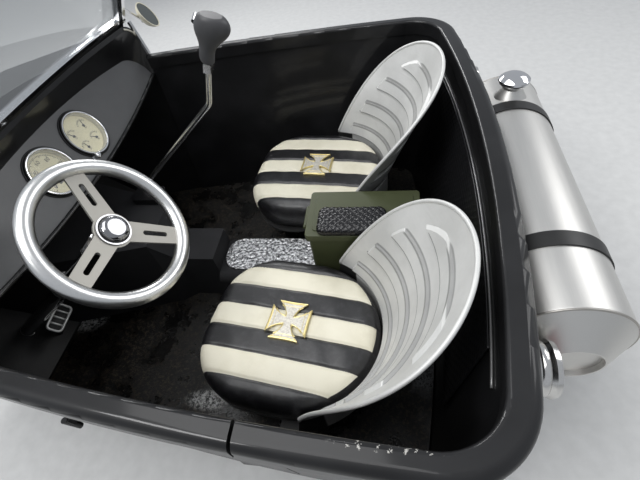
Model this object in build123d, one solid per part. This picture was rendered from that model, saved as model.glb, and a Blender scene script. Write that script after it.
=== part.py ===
from build123d import *
import os
from math import cos, radians, sin, sqrt

# Open hot rod roadster body: tub with a rolled rail, cowl, cockpit and rear tank.
# Millimetres. X is forward, Y is to the left, Z is up. The origin is the centre of the
# four body mounts, on the face that the body stands on.

# Heights
SUBFRAME_H = 60.0
FLOOR_T = 20.0
RAIL_TOP = 600.0
RAIL_DEPTH = 38.0
FLOOR_TOP = SUBFRAME_H + FLOOR_T
RAIL_LOW = RAIL_TOP - RAIL_DEPTH

# Plan of the tub, measured at the rail's inner edge
REAR_X = -540.0
COWL_X = 390.0
FIREWALL_X = 790.0
HALF_WIDTH = 571.4
WIDEST_X = -630.0
SIDE_R = 5464.0
REAR_R = 2948.0
CORNER_R = 88.0

# Rail and wall, as offsets outward from the rail's inner edge
RAIL_SIDE_W = 36.5
RAIL_REAR_W = 43.0
RAIL_OUTER_ROLL = 16.0
RAIL_INNER_ROLL = 7.0
WALL_IN = 8.0
WALL_T = 16.0
WALL_OUT = WALL_IN + WALL_T
TUCK_SIDE = 45.0
TUCK_REAR = 60.0
BELT_Z = 515.0
BELT_H = 18.0
BELT_PROUD = 5.0

# Door in the left side
DOOR_REAR_X = -175.0
DOOR_FRONT_X = 360.0
DOOR_SILL = 130.0
DOOR_GAP = 5.0
HINGE_OUT = 10.0
HINGE_R = 7.0
HINGE_LEN = 60.0
HINGE_Z = (210.0, 500.0)

# Cowl
COWL_SKIN = 10.0
COWL_CROWN = 722.0
COWL_FRONT_CROWN = 665.0
COWL_DROP = 24.0
COWL_CORNER = 60.0
COWL_RAKE = 10.4
LIP_T = 9.0

# Dash panel, in its own leaning plane
DASH_X = 414.5
DASH_Z = 581.5
DASH_LEAN = 27.95
DASH_T = 4.0
DASH_HALF = 473.0
DASH_TOP = 77.6
DASH_TOP_R = 2515.0
DASH_END = -42.0
DASH_BOTTOM = -82.0
DASH_CORNER = 74.0
DASH_BEAD_R = 6.0
GAUGE_R = 55.5
GAUGE_Y = (48.2, -103.0)
GAUGE_DEPTH = 52.0
BEZEL_W = 8.0
BEZEL_PROUD = 9.0
KNOB_Y = -58.0
KNOB_V = -50.0
KNOB_R = 8.0
KNOB_STEM_R = 4.0

# Windshield, in its own leaning plane
SCREEN_X = 417.0
SCREEN_LEAN = 27.0
SCREEN_H = 255.0
SCREEN_HALF_LOW = 470.0
SCREEN_HALF_TOP = 452.0
SCREEN_BAR = 11.0
SCREEN_BAR_T = 16.0
SEAL_H = 14.0
SEAL_T = 12.0
GLASS_T = 6.0
SEAT_GAP = 0.3
POST_W = 18.0
POST_T = 28.0
POST_FOOT = -75.0
LEG_W = 11.0
LEG_H = 98.0

# Mirror on the right post
MIRROR_R = 41.0
MIRROR_T = 24.0
MIRROR_X = 388.0
MIRROR_OUT = 114.0
MIRROR_Z = 684.0
MIRROR_TURN = -11.5
MIRROR_TILT = 31.0
MIRROR_ARM_V = 30.0

# Steering
WHEEL_X = 142.3
WHEEL_Y = 249.4
WHEEL_Z = 604.6
COLUMN_DIP = 39.13
RIM_R = 134.3
RIM_TUBE_R = 14.8
SPOKE_T = 5.0
SPOKE_HUB_W = 44.0
SPOKE_RIM_W = 37.0
SPOKE_ANGLE = -61.5
SLOT_AT = 78.0
SLOT_L = 48.0
SLOT_W = 10.0
HUB_R = 31.0
HUB_CAP_R = 26.0
HUB_CAP_H = 13.0
SHAFT_R = 9.53
COLUMN_R = 19.0
COLUMN_START = 62.0
COLUMN_END = 745.0
SHAFT_END = 815.0
RUN_GAP = 0.05

# Gear lever
LEVER_Y = -100.0
LEVER_R = 6.5
LEVER_PATH = ((350.0, 372.0), (335.0, 402.0), (45.0, 645.0), (17.0, 728.0))
GRIP_H = 96.0

# Brake pedal and toe board
PEDAL_X = 560.0
PEDAL_Y = 228.0
PEDAL_Z = 196.0
PEDAL_W = 88.0
PEDAL_H = 54.0
PEDAL_T = 5.0
PEDAL_SLOT_L = 38.0
PEDAL_SLOT_W = 12.0
PEDAL_SLOT_STEP = 19.5
PEDAL_ARM_R = 9.0
PEDAL_ARM_RUN = 80.0
PEDAL_ARM_DROP = 96.0
TOE_X = 610.0
TOE_TOP = 270.0
TOE_T = 6.0

# Seats
SEAT_X = -140.0
SEAT_Y = 270.7
CUSHION_TOP = 317.0
CUSHION_H = 96.0
CUSHION_L = 416.0
CUSHION_W = 376.0
CUSHION_REAR_R = 185.0
CUSHION_FRONT_R = 140.0
PAN_T = 3.5
SHELL_T = 3.5
SHELL_BASE_R = 200.0
SHELL_REAR = -213.0
SHELL_LEAN = 0.423
SHELL_FLARE = 0.0015
SHELL_FLARE_Z = 300.0
SHELL_RIM = 620.0
SIDE_LOW_X = -60.0
SIDE_FOOT_X = -78.0
SIDE_FOOT_Z = 306.0
SIDE_TOP_X = -352.0
SIDE_BOW = 28.0
BAND_Z = (318.0, 394.0, 470.0, 546.0)
BAND_H = 32.0
BAND_DEPTH = 5.5
BAND_SHORT = 34.0
ORNAMENT_SPAN = 74.0
ORNAMENT_T = 5.0

# Box between the seats, used as a console
CAN_X = -297.5
CAN_Y = -3.0
CAN_L = 270.0
CAN_W = 146.0
CAN_TOP = 368.0
CAN_WALL = 2.0
CAN_LID_L = 281.0
CAN_LID_W = 156.0
CAN_LID_TOP = 385.6
CAN_LID_DEPTH = 22.0
PAD_L = 170.0
PAD_W = 84.0
PAD_H = 24.0

# Tunnel and transmission hump
TUNNEL_TOP = 200.0
TUNNEL_HALF = 78.0
TUNNEL_SHEET = 5.0
HUMP_TOP = 350.0
TUNNEL_REAR = -486.0
TUNNEL_FRONT = 128.0
STEP_TOP = 262.0
STEP_FRONT = 238.0
STEP_HALF = 58.0
HUMP_START = 278.0
HUMP_REAR_HALF = 85.0
HUMP_FRONT_HALF = 230.0
COVER_REAR = -156.0
COVER_FRONT = 122.0
COVER_W = 116.0

# Tank behind the body
TANK_X = -653.8
TANK_Z = 427.9
TANK_R = 104.7
TANK_HALF = 342.2
TANK_CONE = 43.6
TANK_END_R = 49.0
TANK_END_DISH = 5.0
STRAP_Y = 205.0
STRAP_W = 32.0
STRAP_T = 3.0
FILLER_Y = -256.0
FILLER_R = 22.0
FILLER_H = 24.0
FLANGE_R = 33.0
CAP_R = 36.0
CAP_H = 29.0

# Tail lamps
LAMP_Y = 415.0
LAMP_Z = 478.0
LAMP_R = 44.0
LAMP_OUT = 62.0
LAMP_RINGS = 3

# Sub-frame
RAIL_Y = 300.0
MOUNT_X = 400.0
MOUNT_HOLE_R = 6.5
SUB_W = 60.0
SUB_REAR = -480.0
SUB_FRONT = 600.0

os.makedirs("parts", exist_ok=True)


def box(x0, x1, y0, y1, z0, z1):
    return Pos((x0 + x1) / 2, (y0 + y1) / 2, (z0 + z1) / 2) * Box(x1 - x0, y1 - y0, z1 - z0)


def cylinder(start, end, radius):
    """A round bar from one point to another."""
    axis = Vector(*end) - Vector(*start)
    plane = Plane(origin=start, z_dir=axis)
    return plane * Cylinder(radius, axis.length, align=(Align.CENTER, Align.CENTER, Align.MIN))


def save(name, shape):
    shape.label = name
    export_step(shape, f"parts/{name}.step")


def wall_offset(base, z, tuck):
    """The wall's offset at a height: it draws in evenly from the rail down to the floor."""
    return base - tuck * (RAIL_LOW - z) / (RAIL_LOW - SUBFRAME_H)


def half_width(x, grow=0.0):
    """Half of the tub's width at the rail's inner edge, plus an offset outward."""
    return HALF_WIDTH - SIDE_R + sqrt((SIDE_R + grow) ** 2 - (x - WIDEST_X) ** 2)


def rear_corner(grow_side, grow_rear):
    """Where the side arc and the rear arc would meet if the corner were sharp."""
    x = REAR_X
    rear_centre = REAR_X + REAR_R
    for step in range(40):
        y = half_width(x, grow_side)
        x = rear_centre - sqrt((REAR_R + grow_rear) ** 2 - y * y)
    return x, half_width(x, grow_side)


def plan(z, grow_side, grow_rear, front_x=COWL_X):
    """Plan of the tub at one height, grown outward from the rail's inner edge."""
    x_c, y_c = rear_corner(grow_side, grow_rear)
    x_m = (x_c + front_x) / 2
    y_f = half_width(front_x, grow_side)
    y_m = half_width(x_m, grow_side)
    edges = [
        ThreePointArc((front_x, y_f), (x_m, y_m), (x_c, y_c)),
        ThreePointArc((x_c, y_c), (REAR_X - grow_rear, 0), (x_c, -y_c)),
        ThreePointArc((x_c, -y_c), (x_m, -y_m), (front_x, -y_f)),
        Line((front_x, -y_f), (front_x, y_f)),
    ]
    face = make_face(edges)
    corners = face.vertices().sort_by(Axis.X)[:2]
    rounded = fillet(corners, CORNER_R + grow_side)
    return Pos(0, 0, z) * rounded


def wall_block(base, z0, z1, front_x=COWL_X):
    """Everything inside one face of the wall, between two heights."""
    sections = []
    for z in (z0, z1):
        side = wall_offset(base, z, TUCK_SIDE)
        rear = wall_offset(base, z, TUCK_REAR)
        sections.append(plan(z, side, rear, front_x).face())
    return loft(sections, ruled=True)


def rail_ring():
    outer = extrude(plan(RAIL_LOW, RAIL_SIDE_W, RAIL_REAR_W), RAIL_DEPTH)
    inner = extrude(plan(RAIL_LOW - 1, 0, 0, COWL_X + 1), RAIL_DEPTH + 2)
    ring = outer - inner
    top = ring.edges().filter_by_position(Axis.Z, RAIL_TOP - 0.1, RAIL_TOP + 0.1)
    top = [e for e in top if e.center().X < COWL_X - 1]
    outside = [e for e in top if is_outer(e)]
    ring = fillet(outside, RAIL_OUTER_ROLL)
    top = ring.edges().filter_by_position(Axis.Z, RAIL_TOP - 0.1, RAIL_TOP + 0.1)
    inside = [e for e in top if e.center().X < COWL_X - 1 and on_inner_edge(e)]
    return fillet(inside, RAIL_INNER_ROLL)


def is_outer(edge):
    """Whether a plan edge lies outside the rail's middle line."""
    p = edge.position_at(0.5)
    grow = RAIL_SIDE_W / 2
    if abs(p.Y) < 300:
        return p.X < REAR_X - RAIL_REAR_W / 2 + 20
    return abs(p.Y) > half_width(max(p.X, REAR_X + 160), grow) or p.X < REAR_X + 55 - grow


def on_inner_edge(edge):
    p = edge.position_at(0.5)
    return not is_outer(edge) and edge.length > 5


def belt_bead():
    z = BELT_Z
    side = wall_offset(WALL_OUT, z + BELT_H / 2, TUCK_SIDE)
    rear = wall_offset(WALL_OUT, z + BELT_H / 2, TUCK_REAR)
    outer = extrude(plan(z, side + BELT_PROUD, rear + BELT_PROUD), BELT_H)
    inner = extrude(plan(z - 1, side - 6, rear - 6, COWL_X + 1), BELT_H + 2)
    return outer - inner


def tub_ring():
    """The whole tub with no door cut: wall, rail and belt bead."""
    wall = wall_block(WALL_OUT, SUBFRAME_H, RAIL_LOW + 2)
    wall -= wall_block(WALL_IN, SUBFRAME_H - 2, RAIL_LOW + 4, COWL_X + 2)
    return wall + belt_bead() + rail_ring()


def door_region(gap):
    """The space that the door takes in the left side, with a gap taken off all round."""
    return box(DOOR_REAR_X + gap, DOOR_FRONT_X - gap, HALF_WIDTH / 2, HALF_WIDTH + 100,
               DOOR_SILL + gap, RAIL_TOP + 20)


def hinge_point(z):
    """The door's hinge line: parallel to the wall, just outside the rail."""
    y = half_width(DOOR_FRONT_X, RAIL_SIDE_W) + HINGE_OUT
    return DOOR_FRONT_X, y - TUCK_SIDE * (RAIL_LOW - z) / (RAIL_LOW - SUBFRAME_H), z


def body_tub():
    return tub_ring() - door_region(0)


def knuckle(z0, z1):
    return cylinder(hinge_point(z0), hinge_point(z1), HINGE_R)


def door():
    panel = tub_ring() & door_region(DOOR_GAP)
    for z in HINGE_Z:
        top = z + HINGE_LEN / 2
        x, y, _ = hinge_point(z + HINGE_LEN / 4)
        arm = box(x - 34, x, y - 34, y + 3, z + 2, top - 2)
        arm -= wall_block(WALL_IN + WALL_T / 2, SUBFRAME_H, RAIL_LOW)
        arm -= box(x - 60, x - HINGE_R - 4, y - 10, y + 20, z, top)
        arm -= box(x - DOOR_GAP, x + 1, y - 40, y - HINGE_R - 2, z, top)
        panel += arm + knuckle(z + 0.3, top)
    return panel


def door_hinges():
    """The halves of the hinges that stay on the body."""
    parts = []
    for z in HINGE_Z:
        low = z - HINGE_LEN / 2
        x, y, _ = hinge_point(z - HINGE_LEN / 4)
        arm = box(x, x + 24, y - 30, y + 3, low + 2, z - 2)
        arm -= wall_block(WALL_OUT, SUBFRAME_H, RAIL_LOW)
        arm = arm.solids().sort_by(Axis.Y)[-1]
        parts.append(arm + knuckle(low, z))
    return Compound(children=parts)


def cowl_face(x, grow, crown, low):
    """One crosswise section of the cowl: straight sides that draw in, and a crowned top."""
    shoulder = crown - COWL_DROP
    y_low = half_width(x, wall_offset(grow, low, TUCK_SIDE))
    y_top = half_width(x, wall_offset(grow, shoulder, TUCK_SIDE))
    edges = [
        Line((-y_low, low), (-y_top, shoulder)),
        ThreePointArc((-y_top, shoulder), (0, crown), (y_top, shoulder)),
        Line((y_top, shoulder), (y_low, low)),
        Line((y_low, low), (-y_low, low)),
    ]
    face = make_face(edges)
    top = face.vertices().sort_by(Axis.Y)[2:]
    face = fillet(top, COWL_CORNER)
    plane = Plane(origin=(x, 0, 0), x_dir=(0, 1, 0), z_dir=(1, 0, 0))
    return (plane * face).face()


def cowl_block(inset, low, x0=COWL_X, x1=FIREWALL_X):
    """The cowl's whole volume inside one face of its skin."""
    slope = (COWL_FRONT_CROWN - COWL_CROWN) / (FIREWALL_X - COWL_X)
    faces = [cowl_face(x, WALL_OUT - inset, COWL_CROWN + slope * (x - COWL_X) - inset, low)
             for x in (x0, x1)]
    return loft(faces, ruled=True)


def rake_plane():
    """The leaning plane of the cowl's rear edge above the rail."""
    lean = radians(COWL_RAKE)
    return Plane(origin=(COWL_X, 0, RAIL_TOP), x_dir=(0, -1, 0), z_dir=(-cos(lean), 0, sin(lean)))


def dash_plane():
    lean = radians(DASH_LEAN)
    return Plane(origin=(DASH_X, 0, DASH_Z), x_dir=(0, -1, 0), z_dir=(-cos(lean), 0, sin(lean)))


def screen_plane():
    lean = radians(SCREEN_LEAN)
    z = COWL_CROWN + (COWL_FRONT_CROWN - COWL_CROWN) * (SCREEN_X - COWL_X) / (FIREWALL_X - COWL_X)
    return Plane(origin=(SCREEN_X, 0, z), x_dir=(0, -1, 0), z_dir=(-cos(lean), 0, -sin(lean)))


def arch_face(half, crown, drop, low, corner):
    """A closed arch: upright sides, a crowned top and rounded upper corners."""
    edges = [
        Line((-half, low), (-half, crown - drop)),
        ThreePointArc((-half, crown - drop), (0, crown), (half, crown - drop)),
        Line((half, crown - drop), (half, low)),
        Line((half, low), (-half, low)),
    ]
    face = make_face(edges)
    return fillet(face.vertices().sort_by(Axis.Y)[2:], corner)


def dash_drop(half):
    return DASH_TOP_R - sqrt(DASH_TOP_R ** 2 - half ** 2)


def dash_arch(grow, low):
    half = DASH_HALF + grow
    return arch_face(half, DASH_TOP + grow, dash_drop(half), low, DASH_CORNER + grow)


def cowl_lip():
    """The rolled band that runs from the cowl's rear edge down to the dash."""
    high = (COWL_CROWN - RAIL_TOP - COWL_SKIN / 2) / cos(radians(COWL_RAKE))
    half = half_width(COWL_X + 18, WALL_OUT + 8 - COWL_SKIN / 2)
    low = DASH_END + 2
    outer = loft([(rake_plane() * arch_face(half, high, COWL_DROP, -52, COWL_CORNER)).face(),
                  (dash_plane() * dash_arch(LIP_T, low)).face()], ruled=True)
    inner = loft([(rake_plane() * arch_face(half - LIP_T, high - LIP_T, COWL_DROP, -60,
                                            COWL_CORNER - LIP_T)).face(),
                  (dash_plane() * dash_arch(0, low - 12)).face()], ruled=True)
    inner += extrude(rake_plane() * arch_face(half - LIP_T, high - LIP_T, COWL_DROP, -60,
                                              COWL_CORNER - LIP_T), 40)
    inner += extrude(dash_plane() * dash_arch(0, low - 12), -40)
    return outer - inner


def cowl():
    shell = cowl_block(0, SUBFRAME_H) - cowl_block(COWL_SKIN, SUBFRAME_H - 1, COWL_X - 1, FIREWALL_X + 1)
    behind = extrude(rake_plane() * Rectangle(1400, 260, align=(Align.CENTER, Align.MIN)), 60)
    shell -= behind & box(COWL_X - 100, COWL_X + 200, -700, 700, RAIL_TOP, 900)
    lip = cowl_lip() & cowl_block(0.5, SUBFRAME_H)
    return shell + lip


def firewall():
    wall = cowl_block(COWL_SKIN + SEAT_GAP, SUBFRAME_H) & box(FIREWALL_X - 6, FIREWALL_X, -700, 700, TOE_TOP, 800)
    return wall - hump_block(0)


def toe_board():
    """The sloping plate from the floor up to the firewall."""
    run = FIREWALL_X - TOE_X
    rise = TOE_TOP - FLOOR_TOP
    lift = TOE_T * sqrt(run ** 2 + rise ** 2) / run
    outline = Polygon((TOE_X, FLOOR_TOP), (FIREWALL_X, TOE_TOP), (FIREWALL_X, TOE_TOP - lift),
                      (TOE_X, FLOOR_TOP - lift), align=None)
    plate = extrude(Plane.XZ * outline, 700, both=True)
    plate &= cowl_block(COWL_SKIN + SEAT_GAP, SUBFRAME_H - 40)
    plate -= hump_block(0) + hump_block(TUNNEL_SHEET)
    return plate - column_hole() - pedal_arm(PEDAL_ARM_R)


def column_hole():
    return cylinder(on_column(COLUMN_END - 200), on_column(SHAFT_END), COLUMN_R + SEAT_GAP)


def floor_pan():
    """The flat floor inside the walls, open under the tunnel and the hump."""
    side = wall_offset(WALL_IN, SUBFRAME_H, TUCK_SIDE) - SEAT_GAP / 2
    rear = wall_offset(WALL_IN, SUBFRAME_H, TUCK_REAR) - SEAT_GAP / 2
    pan = extrude(plan(SUBFRAME_H, side, rear, COWL_X), FLOOR_T)
    front = cowl_block(COWL_SKIN + 2, SUBFRAME_H) & box(COWL_X, TOE_X - 8, -700, 700,
                                                         SUBFRAME_H, FLOOR_TOP)
    pan = pan + front
    way = STEP_HALF - TUNNEL_SHEET
    joint = box(TUNNEL_FRONT - 10, TUNNEL_FRONT + 10, -way, way, 0, FLOOR_TOP + 1)
    return pan - tunnel_block(TUNNEL_SHEET) - hump_block(TUNNEL_SHEET) - joint


def tunnel_block(inset):
    """The drive-shaft tunnel, as a solid drawn in by a sheet's thickness."""
    half = TUNNEL_HALF - inset
    low = SUBFRAME_H - (1 if inset else -FLOOR_T)
    height = TUNNEL_TOP - inset - low
    bar = box(TUNNEL_REAR + inset, TUNNEL_FRONT, -half, half, low, low + height)
    return fillet(bar.edges().filter_by(Axis.X).group_by(Axis.Z)[-1], 26 - inset)


def hump_block(inset):
    """The transmission hump: it widens to the front and steps down at the rear."""
    low = SUBFRAME_H - 1 if inset else FLOOR_TOP
    side = Polygon((TUNNEL_FRONT + inset, low), (TUNNEL_FRONT + inset, STEP_TOP - inset),
                   (STEP_FRONT, STEP_TOP - inset), (HUMP_START + inset, HUMP_TOP - inset),
                   (FIREWALL_X + inset, HUMP_TOP + 24 - inset), (FIREWALL_X + inset, low), align=None)
    step = STEP_HALF - inset
    rear = HUMP_REAR_HALF - inset
    front = HUMP_FRONT_HALF - inset
    top = Polygon((TUNNEL_FRONT, -step), (STEP_FRONT, -step), (HUMP_START, -rear),
                  (FIREWALL_X + 2, -front), (FIREWALL_X + 2, front), (HUMP_START, rear),
                  (STEP_FRONT, step), (TUNNEL_FRONT, step), align=None)
    block = extrude(Plane.XZ * side, 400, both=True) & extrude(Pos(0, 0, low) * top, 400)
    return block


def tunnel():
    return tunnel_block(0) - tunnel_block(TUNNEL_SHEET)


def hump():
    shell = hump_block(0) - hump_block(TUNNEL_SHEET)
    half = TUNNEL_HALF - TUNNEL_SHEET
    way = min(half, STEP_HALF - TUNNEL_SHEET)
    return shell - box(TUNNEL_FRONT - 5, TUNNEL_FRONT + 10, -way, way, SUBFRAME_H - 5,
                       TUNNEL_TOP - TUNNEL_SHEET)


def tunnel_cover():
    length = COVER_FRONT - COVER_REAR
    outline = Rectangle(length, COVER_W)
    front = outline.vertices().sort_by(Axis.X)[2:]
    outline = fillet(front, COVER_W * 0.42)
    rear = outline.vertices().sort_by(Axis.X)[:2]
    outline = fillet(rear, 14)
    plate = Pos((COVER_REAR + COVER_FRONT) / 2, -8, TUNNEL_TOP) * extrude(outline, 7)
    return fillet(plate.edges().group_by(Axis.Z)[-1], 3)


def dash_panel():
    drop = dash_drop(DASH_HALF)
    edges = [
        ThreePointArc((-DASH_HALF, DASH_END), (0, DASH_BOTTOM), (DASH_HALF, DASH_END)),
        Line((DASH_HALF, DASH_END), (DASH_HALF, DASH_TOP - drop)),
        ThreePointArc((DASH_HALF, DASH_TOP - drop), (0, DASH_TOP), (-DASH_HALF, DASH_TOP - drop)),
        Line((-DASH_HALF, DASH_TOP - drop), (-DASH_HALF, DASH_END)),
    ]
    face = make_face(edges)
    face = fillet(face.vertices().sort_by(Axis.Y)[2:], DASH_CORNER)
    for y in GAUGE_Y:
        face -= Pos(-y, 0) * Circle(GAUGE_R + SEAT_GAP)
    face -= Pos(-KNOB_Y, KNOB_V) * Circle(KNOB_STEM_R + SEAT_GAP)
    return dash_plane() * extrude(face, -DASH_T)


def dash_bead():
    """The rolled bead that grips the panel's lower edge."""
    rise = DASH_END - DASH_BOTTOM
    low_arc_r = (DASH_HALF ** 2 + rise ** 2) / (2 * rise)
    mid = Plane(origin=(0, DASH_BOTTOM, 0), x_dir=(0, 0, 1), z_dir=(1, 0, 0))
    ring = revolve(mid * Pos(DASH_BEAD_R - DASH_T, 0) * Circle(DASH_BEAD_R),
                   Axis((0, DASH_BOTTOM + low_arc_r, 0), (0, 0, 1)), 360)
    reach = DASH_HALF - 1
    low = Polygon((-reach, DASH_BOTTOM - 100), (reach, DASH_BOTTOM - 100),
                  (reach, DASH_END + 20), (-reach, DASH_END + 20), align=None)
    bead = ring & extrude(low, 40, both=True)
    return dash_plane() * bead - dash_panel()


def gauge_cans():
    """The round cases behind the panel, each with a dish for its dial."""
    parts = []
    for y in GAUGE_Y:
        can = Pos(-y, 0, -GAUGE_DEPTH) * Cylinder(GAUGE_R, GAUGE_DEPTH + 2,
                                                  align=(Align.CENTER, Align.CENTER, Align.MIN))
        can -= Pos(-y, 0, -6) * Cylinder(GAUGE_R - 4, 12, align=(Align.CENTER, Align.CENTER, Align.MIN))
        parts.append(dash_plane() * can)
    return Compound(children=parts)


def gauge_bezels():
    parts = []
    for y in GAUGE_Y:
        profile = Pos(GAUGE_R + 1.5, 0) * Rectangle(BEZEL_W, BEZEL_PROUD,
                                                  align=(Align.CENTER, Align.MIN))
        profile = fillet(profile.vertices().sort_by(Axis.Y)[2:], 2.4)
        ring = revolve(Plane.XZ * profile, Axis.Z, 360)
        ring -= Cylinder(GAUGE_R + SEAT_GAP, 4, align=(Align.CENTER, Align.CENTER, Align.CENTER))
        parts.append(dash_plane() * Pos(-y, 0, 0.1) * ring)
    return Compound(children=parts)


def dash_knob():
    stem = Pos(0, 0, -22) * Cylinder(KNOB_STEM_R, 34, align=(Align.CENTER, Align.CENTER, Align.MIN))
    knob = Pos(0, 0, 12) * Cylinder(KNOB_R, 14, align=(Align.CENTER, Align.CENTER, Align.MIN))
    knob = fillet(knob.edges().group_by(Axis.Z)[-1], 4)
    nut = Pos(0, 0, 0.2) * extrude(RegularPolygon(6.5, 6), 4)
    return dash_plane() * Pos(-KNOB_Y, KNOB_V, 0) * (stem + knob + nut)


def screen_half(v):
    """Half of the windshield's width at a height in its plane."""
    slope = (SCREEN_HALF_TOP - SCREEN_HALF_LOW) / (SCREEN_H + COWL_DROP)
    return SCREEN_HALF_LOW + slope * (v + COWL_DROP)


def screen_face(inset, lift=SEAL_H):
    """The windshield's outline, drawn in by a width all round and lifted off the cowl."""
    foot = -COWL_DROP + inset + lift
    low = screen_half(foot) - inset
    top = SCREEN_HALF_TOP - inset
    edges = [
        ThreePointArc((-low, foot), (0, inset + lift), (low, foot)),
        Line((low, foot), (top, SCREEN_H - inset)),
        ThreePointArc((top, SCREEN_H - inset), (0, SCREEN_H + 12 - inset), (-top, SCREEN_H - inset)),
        Line((-top, SCREEN_H - inset), (-low, foot)),
    ]
    face = make_face(edges)
    return fillet(face.vertices().sort_by(Axis.Y)[2:], max(14 - inset / 2, 3))


def windshield_frame():
    outer = extrude(screen_face(0), SCREEN_BAR_T / 2, both=True)
    inner = extrude(screen_face(SCREEN_BAR), SCREEN_BAR_T, both=True)
    frame = screen_plane() * (outer - inner)
    return frame - cowl_block(0, SUBFRAME_H)


def screen_seal():
    """The rubber channel between the frame and the cowl."""
    strip = extrude(screen_face(0, -6), SEAL_T / 2, both=True)
    strip -= extrude(screen_face(0), SCREEN_BAR_T, both=True)
    strip &= extrude(Rectangle(2 * SCREEN_HALF_LOW, 2 * SEAL_H + 2 * COWL_DROP), SEAL_T, both=True)
    seal = screen_plane() * strip - cowl_block(0, SUBFRAME_H)
    return seal.solids().sort_by(SortBy.VOLUME)[-1]


def windshield_glass():
    return screen_plane() * extrude(screen_face(SCREEN_BAR + SEAT_GAP), GLASS_T / 2, both=True)


def windshield_posts():
    """The stanchions beside the frame, with a leg down to the rail on each side."""
    parts = []
    top_v = SCREEN_H + 8
    for side in (-1, 1):
        low = screen_half(POST_FOOT) + SEAT_GAP
        top = screen_half(top_v) + SEAT_GAP
        bar = Polygon((side * low, POST_FOOT), (side * (low + POST_W), POST_FOOT),
                      (side * (top + POST_W), top_v), (side * top, top_v), align=None)
        post = screen_plane() * extrude(bar, POST_T / 2, both=True)
        post -= cowl_block(0, SUBFRAME_H)
        post = post.solids().sort_by(SortBy.VOLUME)[-1]
        leg_y = half_width(COWL_X, WALL_OUT) - 6
        leg = rake_plane() * Pos(side * leg_y, 2) * extrude(
            Rectangle(LEG_W, LEG_H, align=(Align.CENTER, Align.MIN)), 7)
        parts.append(post)
        parts.append(leg)
    return Compound(children=parts)


def mirror_y():
    return -SCREEN_HALF_LOW - MIRROR_OUT


def mirror_plane():
    turn = radians(MIRROR_TURN)
    tilt = radians(MIRROR_TILT)
    return Plane(origin=(MIRROR_X, mirror_y(), MIRROR_Z),
                 z_dir=(-cos(turn) * cos(tilt), sin(turn) * cos(tilt), sin(tilt)))


def mirror_arm():
    """A round arm from the right post to the back of the mirror."""
    plane = screen_plane()
    start = plane.from_local_coords((screen_half(MIRROR_ARM_V) + POST_W - 2, MIRROR_ARM_V, -2))
    back = mirror_plane().from_local_coords((0, 0, -MIRROR_T - 4))
    arm = cylinder(tuple(start), tuple(back), 4.5) + Pos(back) * Sphere(7)
    return arm - windshield_posts()


def mirror_head():
    """A round dished case, open to the rear for its glass."""
    profile = make_face([
        Line((0, -MIRROR_T), (12, -MIRROR_T)),
        ThreePointArc((12, -MIRROR_T), (MIRROR_R * 0.8, -MIRROR_T * 0.6), (MIRROR_R, 0)),
        Line((MIRROR_R, 0), (MIRROR_R - 3, 0)),
        Line((MIRROR_R - 3, 0), (MIRROR_R - 3, -4)),
        Line((MIRROR_R - 3, -4), (0, -4)),
        Line((0, -4), (0, -MIRROR_T)),
    ])
    head = revolve(Plane.XZ * profile, Axis.Z, 360)
    return mirror_plane() * head - mirror_arm()


def mirror_glass():
    disc = Pos(0, 0, -4 + 0.1) * Cylinder(MIRROR_R - 3 - SEAT_GAP, 3,
                                          align=(Align.CENTER, Align.CENTER, Align.MIN))
    return mirror_plane() * disc


def column_plane(distance=0.0):
    """A plane across the steering axis, seen from the driver, at a distance down it."""
    dip = radians(COLUMN_DIP)
    origin = on_column(distance)
    return Plane(origin=origin, x_dir=(0, -1, 0), z_dir=(-cos(dip), 0, sin(dip)))


def on_column(distance):
    dip = radians(COLUMN_DIP)
    return (WHEEL_X + distance * cos(dip), WHEEL_Y, WHEEL_Z - distance * sin(dip))


def wheel_rim():
    return column_plane() * Torus(RIM_R, RIM_TUBE_R)


def spoke():
    reach = RIM_R - RIM_TUBE_R + 4
    arm = Polygon((0, -SPOKE_HUB_W / 2), (reach, -SPOKE_RIM_W / 2), (reach, SPOKE_RIM_W / 2),
                  (0, SPOKE_HUB_W / 2), align=None)
    slot = Pos(SLOT_AT, 0) * SlotOverall(SLOT_L, SLOT_W)
    return arm - slot


def wheel_spokes():
    face = Circle(HUB_R + 4)
    for k in range(3):
        face += Rot(0, 0, SPOKE_ANGLE + 120 * k) * spoke()
    plate = extrude(face, SPOKE_T / 2, both=True)
    hub = Pos(0, 0, -40) * Cylinder(24, 40 - SPOKE_T / 2, align=(Align.CENTER, Align.CENTER, Align.MIN))
    return column_plane() * (plate + hub) - wheel_rim()


def hub_cap():
    ring = Pos(0, 0, SPOKE_T / 2) * Cylinder(HUB_R, 4, align=(Align.CENTER, Align.CENTER, Align.MIN))
    dome = Pos(0, 0, SPOKE_T / 2 + 4) * Cylinder(HUB_CAP_R, HUB_CAP_H,
                                                 align=(Align.CENTER, Align.CENTER, Align.MIN))
    dome = fillet(dome.edges().group_by(Axis.Z)[-1], HUB_CAP_H * 0.85)
    return column_plane() * (ring + dome)


def steering_shaft():
    """The shaft, with a retaining groove just below the column's end."""
    shaft = cylinder(on_column(40), on_column(SHAFT_END), SHAFT_R)
    groove = cylinder(on_column(COLUMN_END + 3), on_column(COLUMN_END + 6), SHAFT_R + 1)
    groove -= cylinder(on_column(COLUMN_END), on_column(COLUMN_END + 10), SHAFT_R - 1.2)
    return shaft - groove


def steering_column():
    tube = cylinder(on_column(COLUMN_START), on_column(COLUMN_END), COLUMN_R)
    collar = cylinder(on_column(COLUMN_START), on_column(COLUMN_START + 40), COLUMN_R + 6)
    bore = cylinder(on_column(COLUMN_START - 5), on_column(COLUMN_END + 5), SHAFT_R + RUN_GAP)
    return tube + collar - bore


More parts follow.
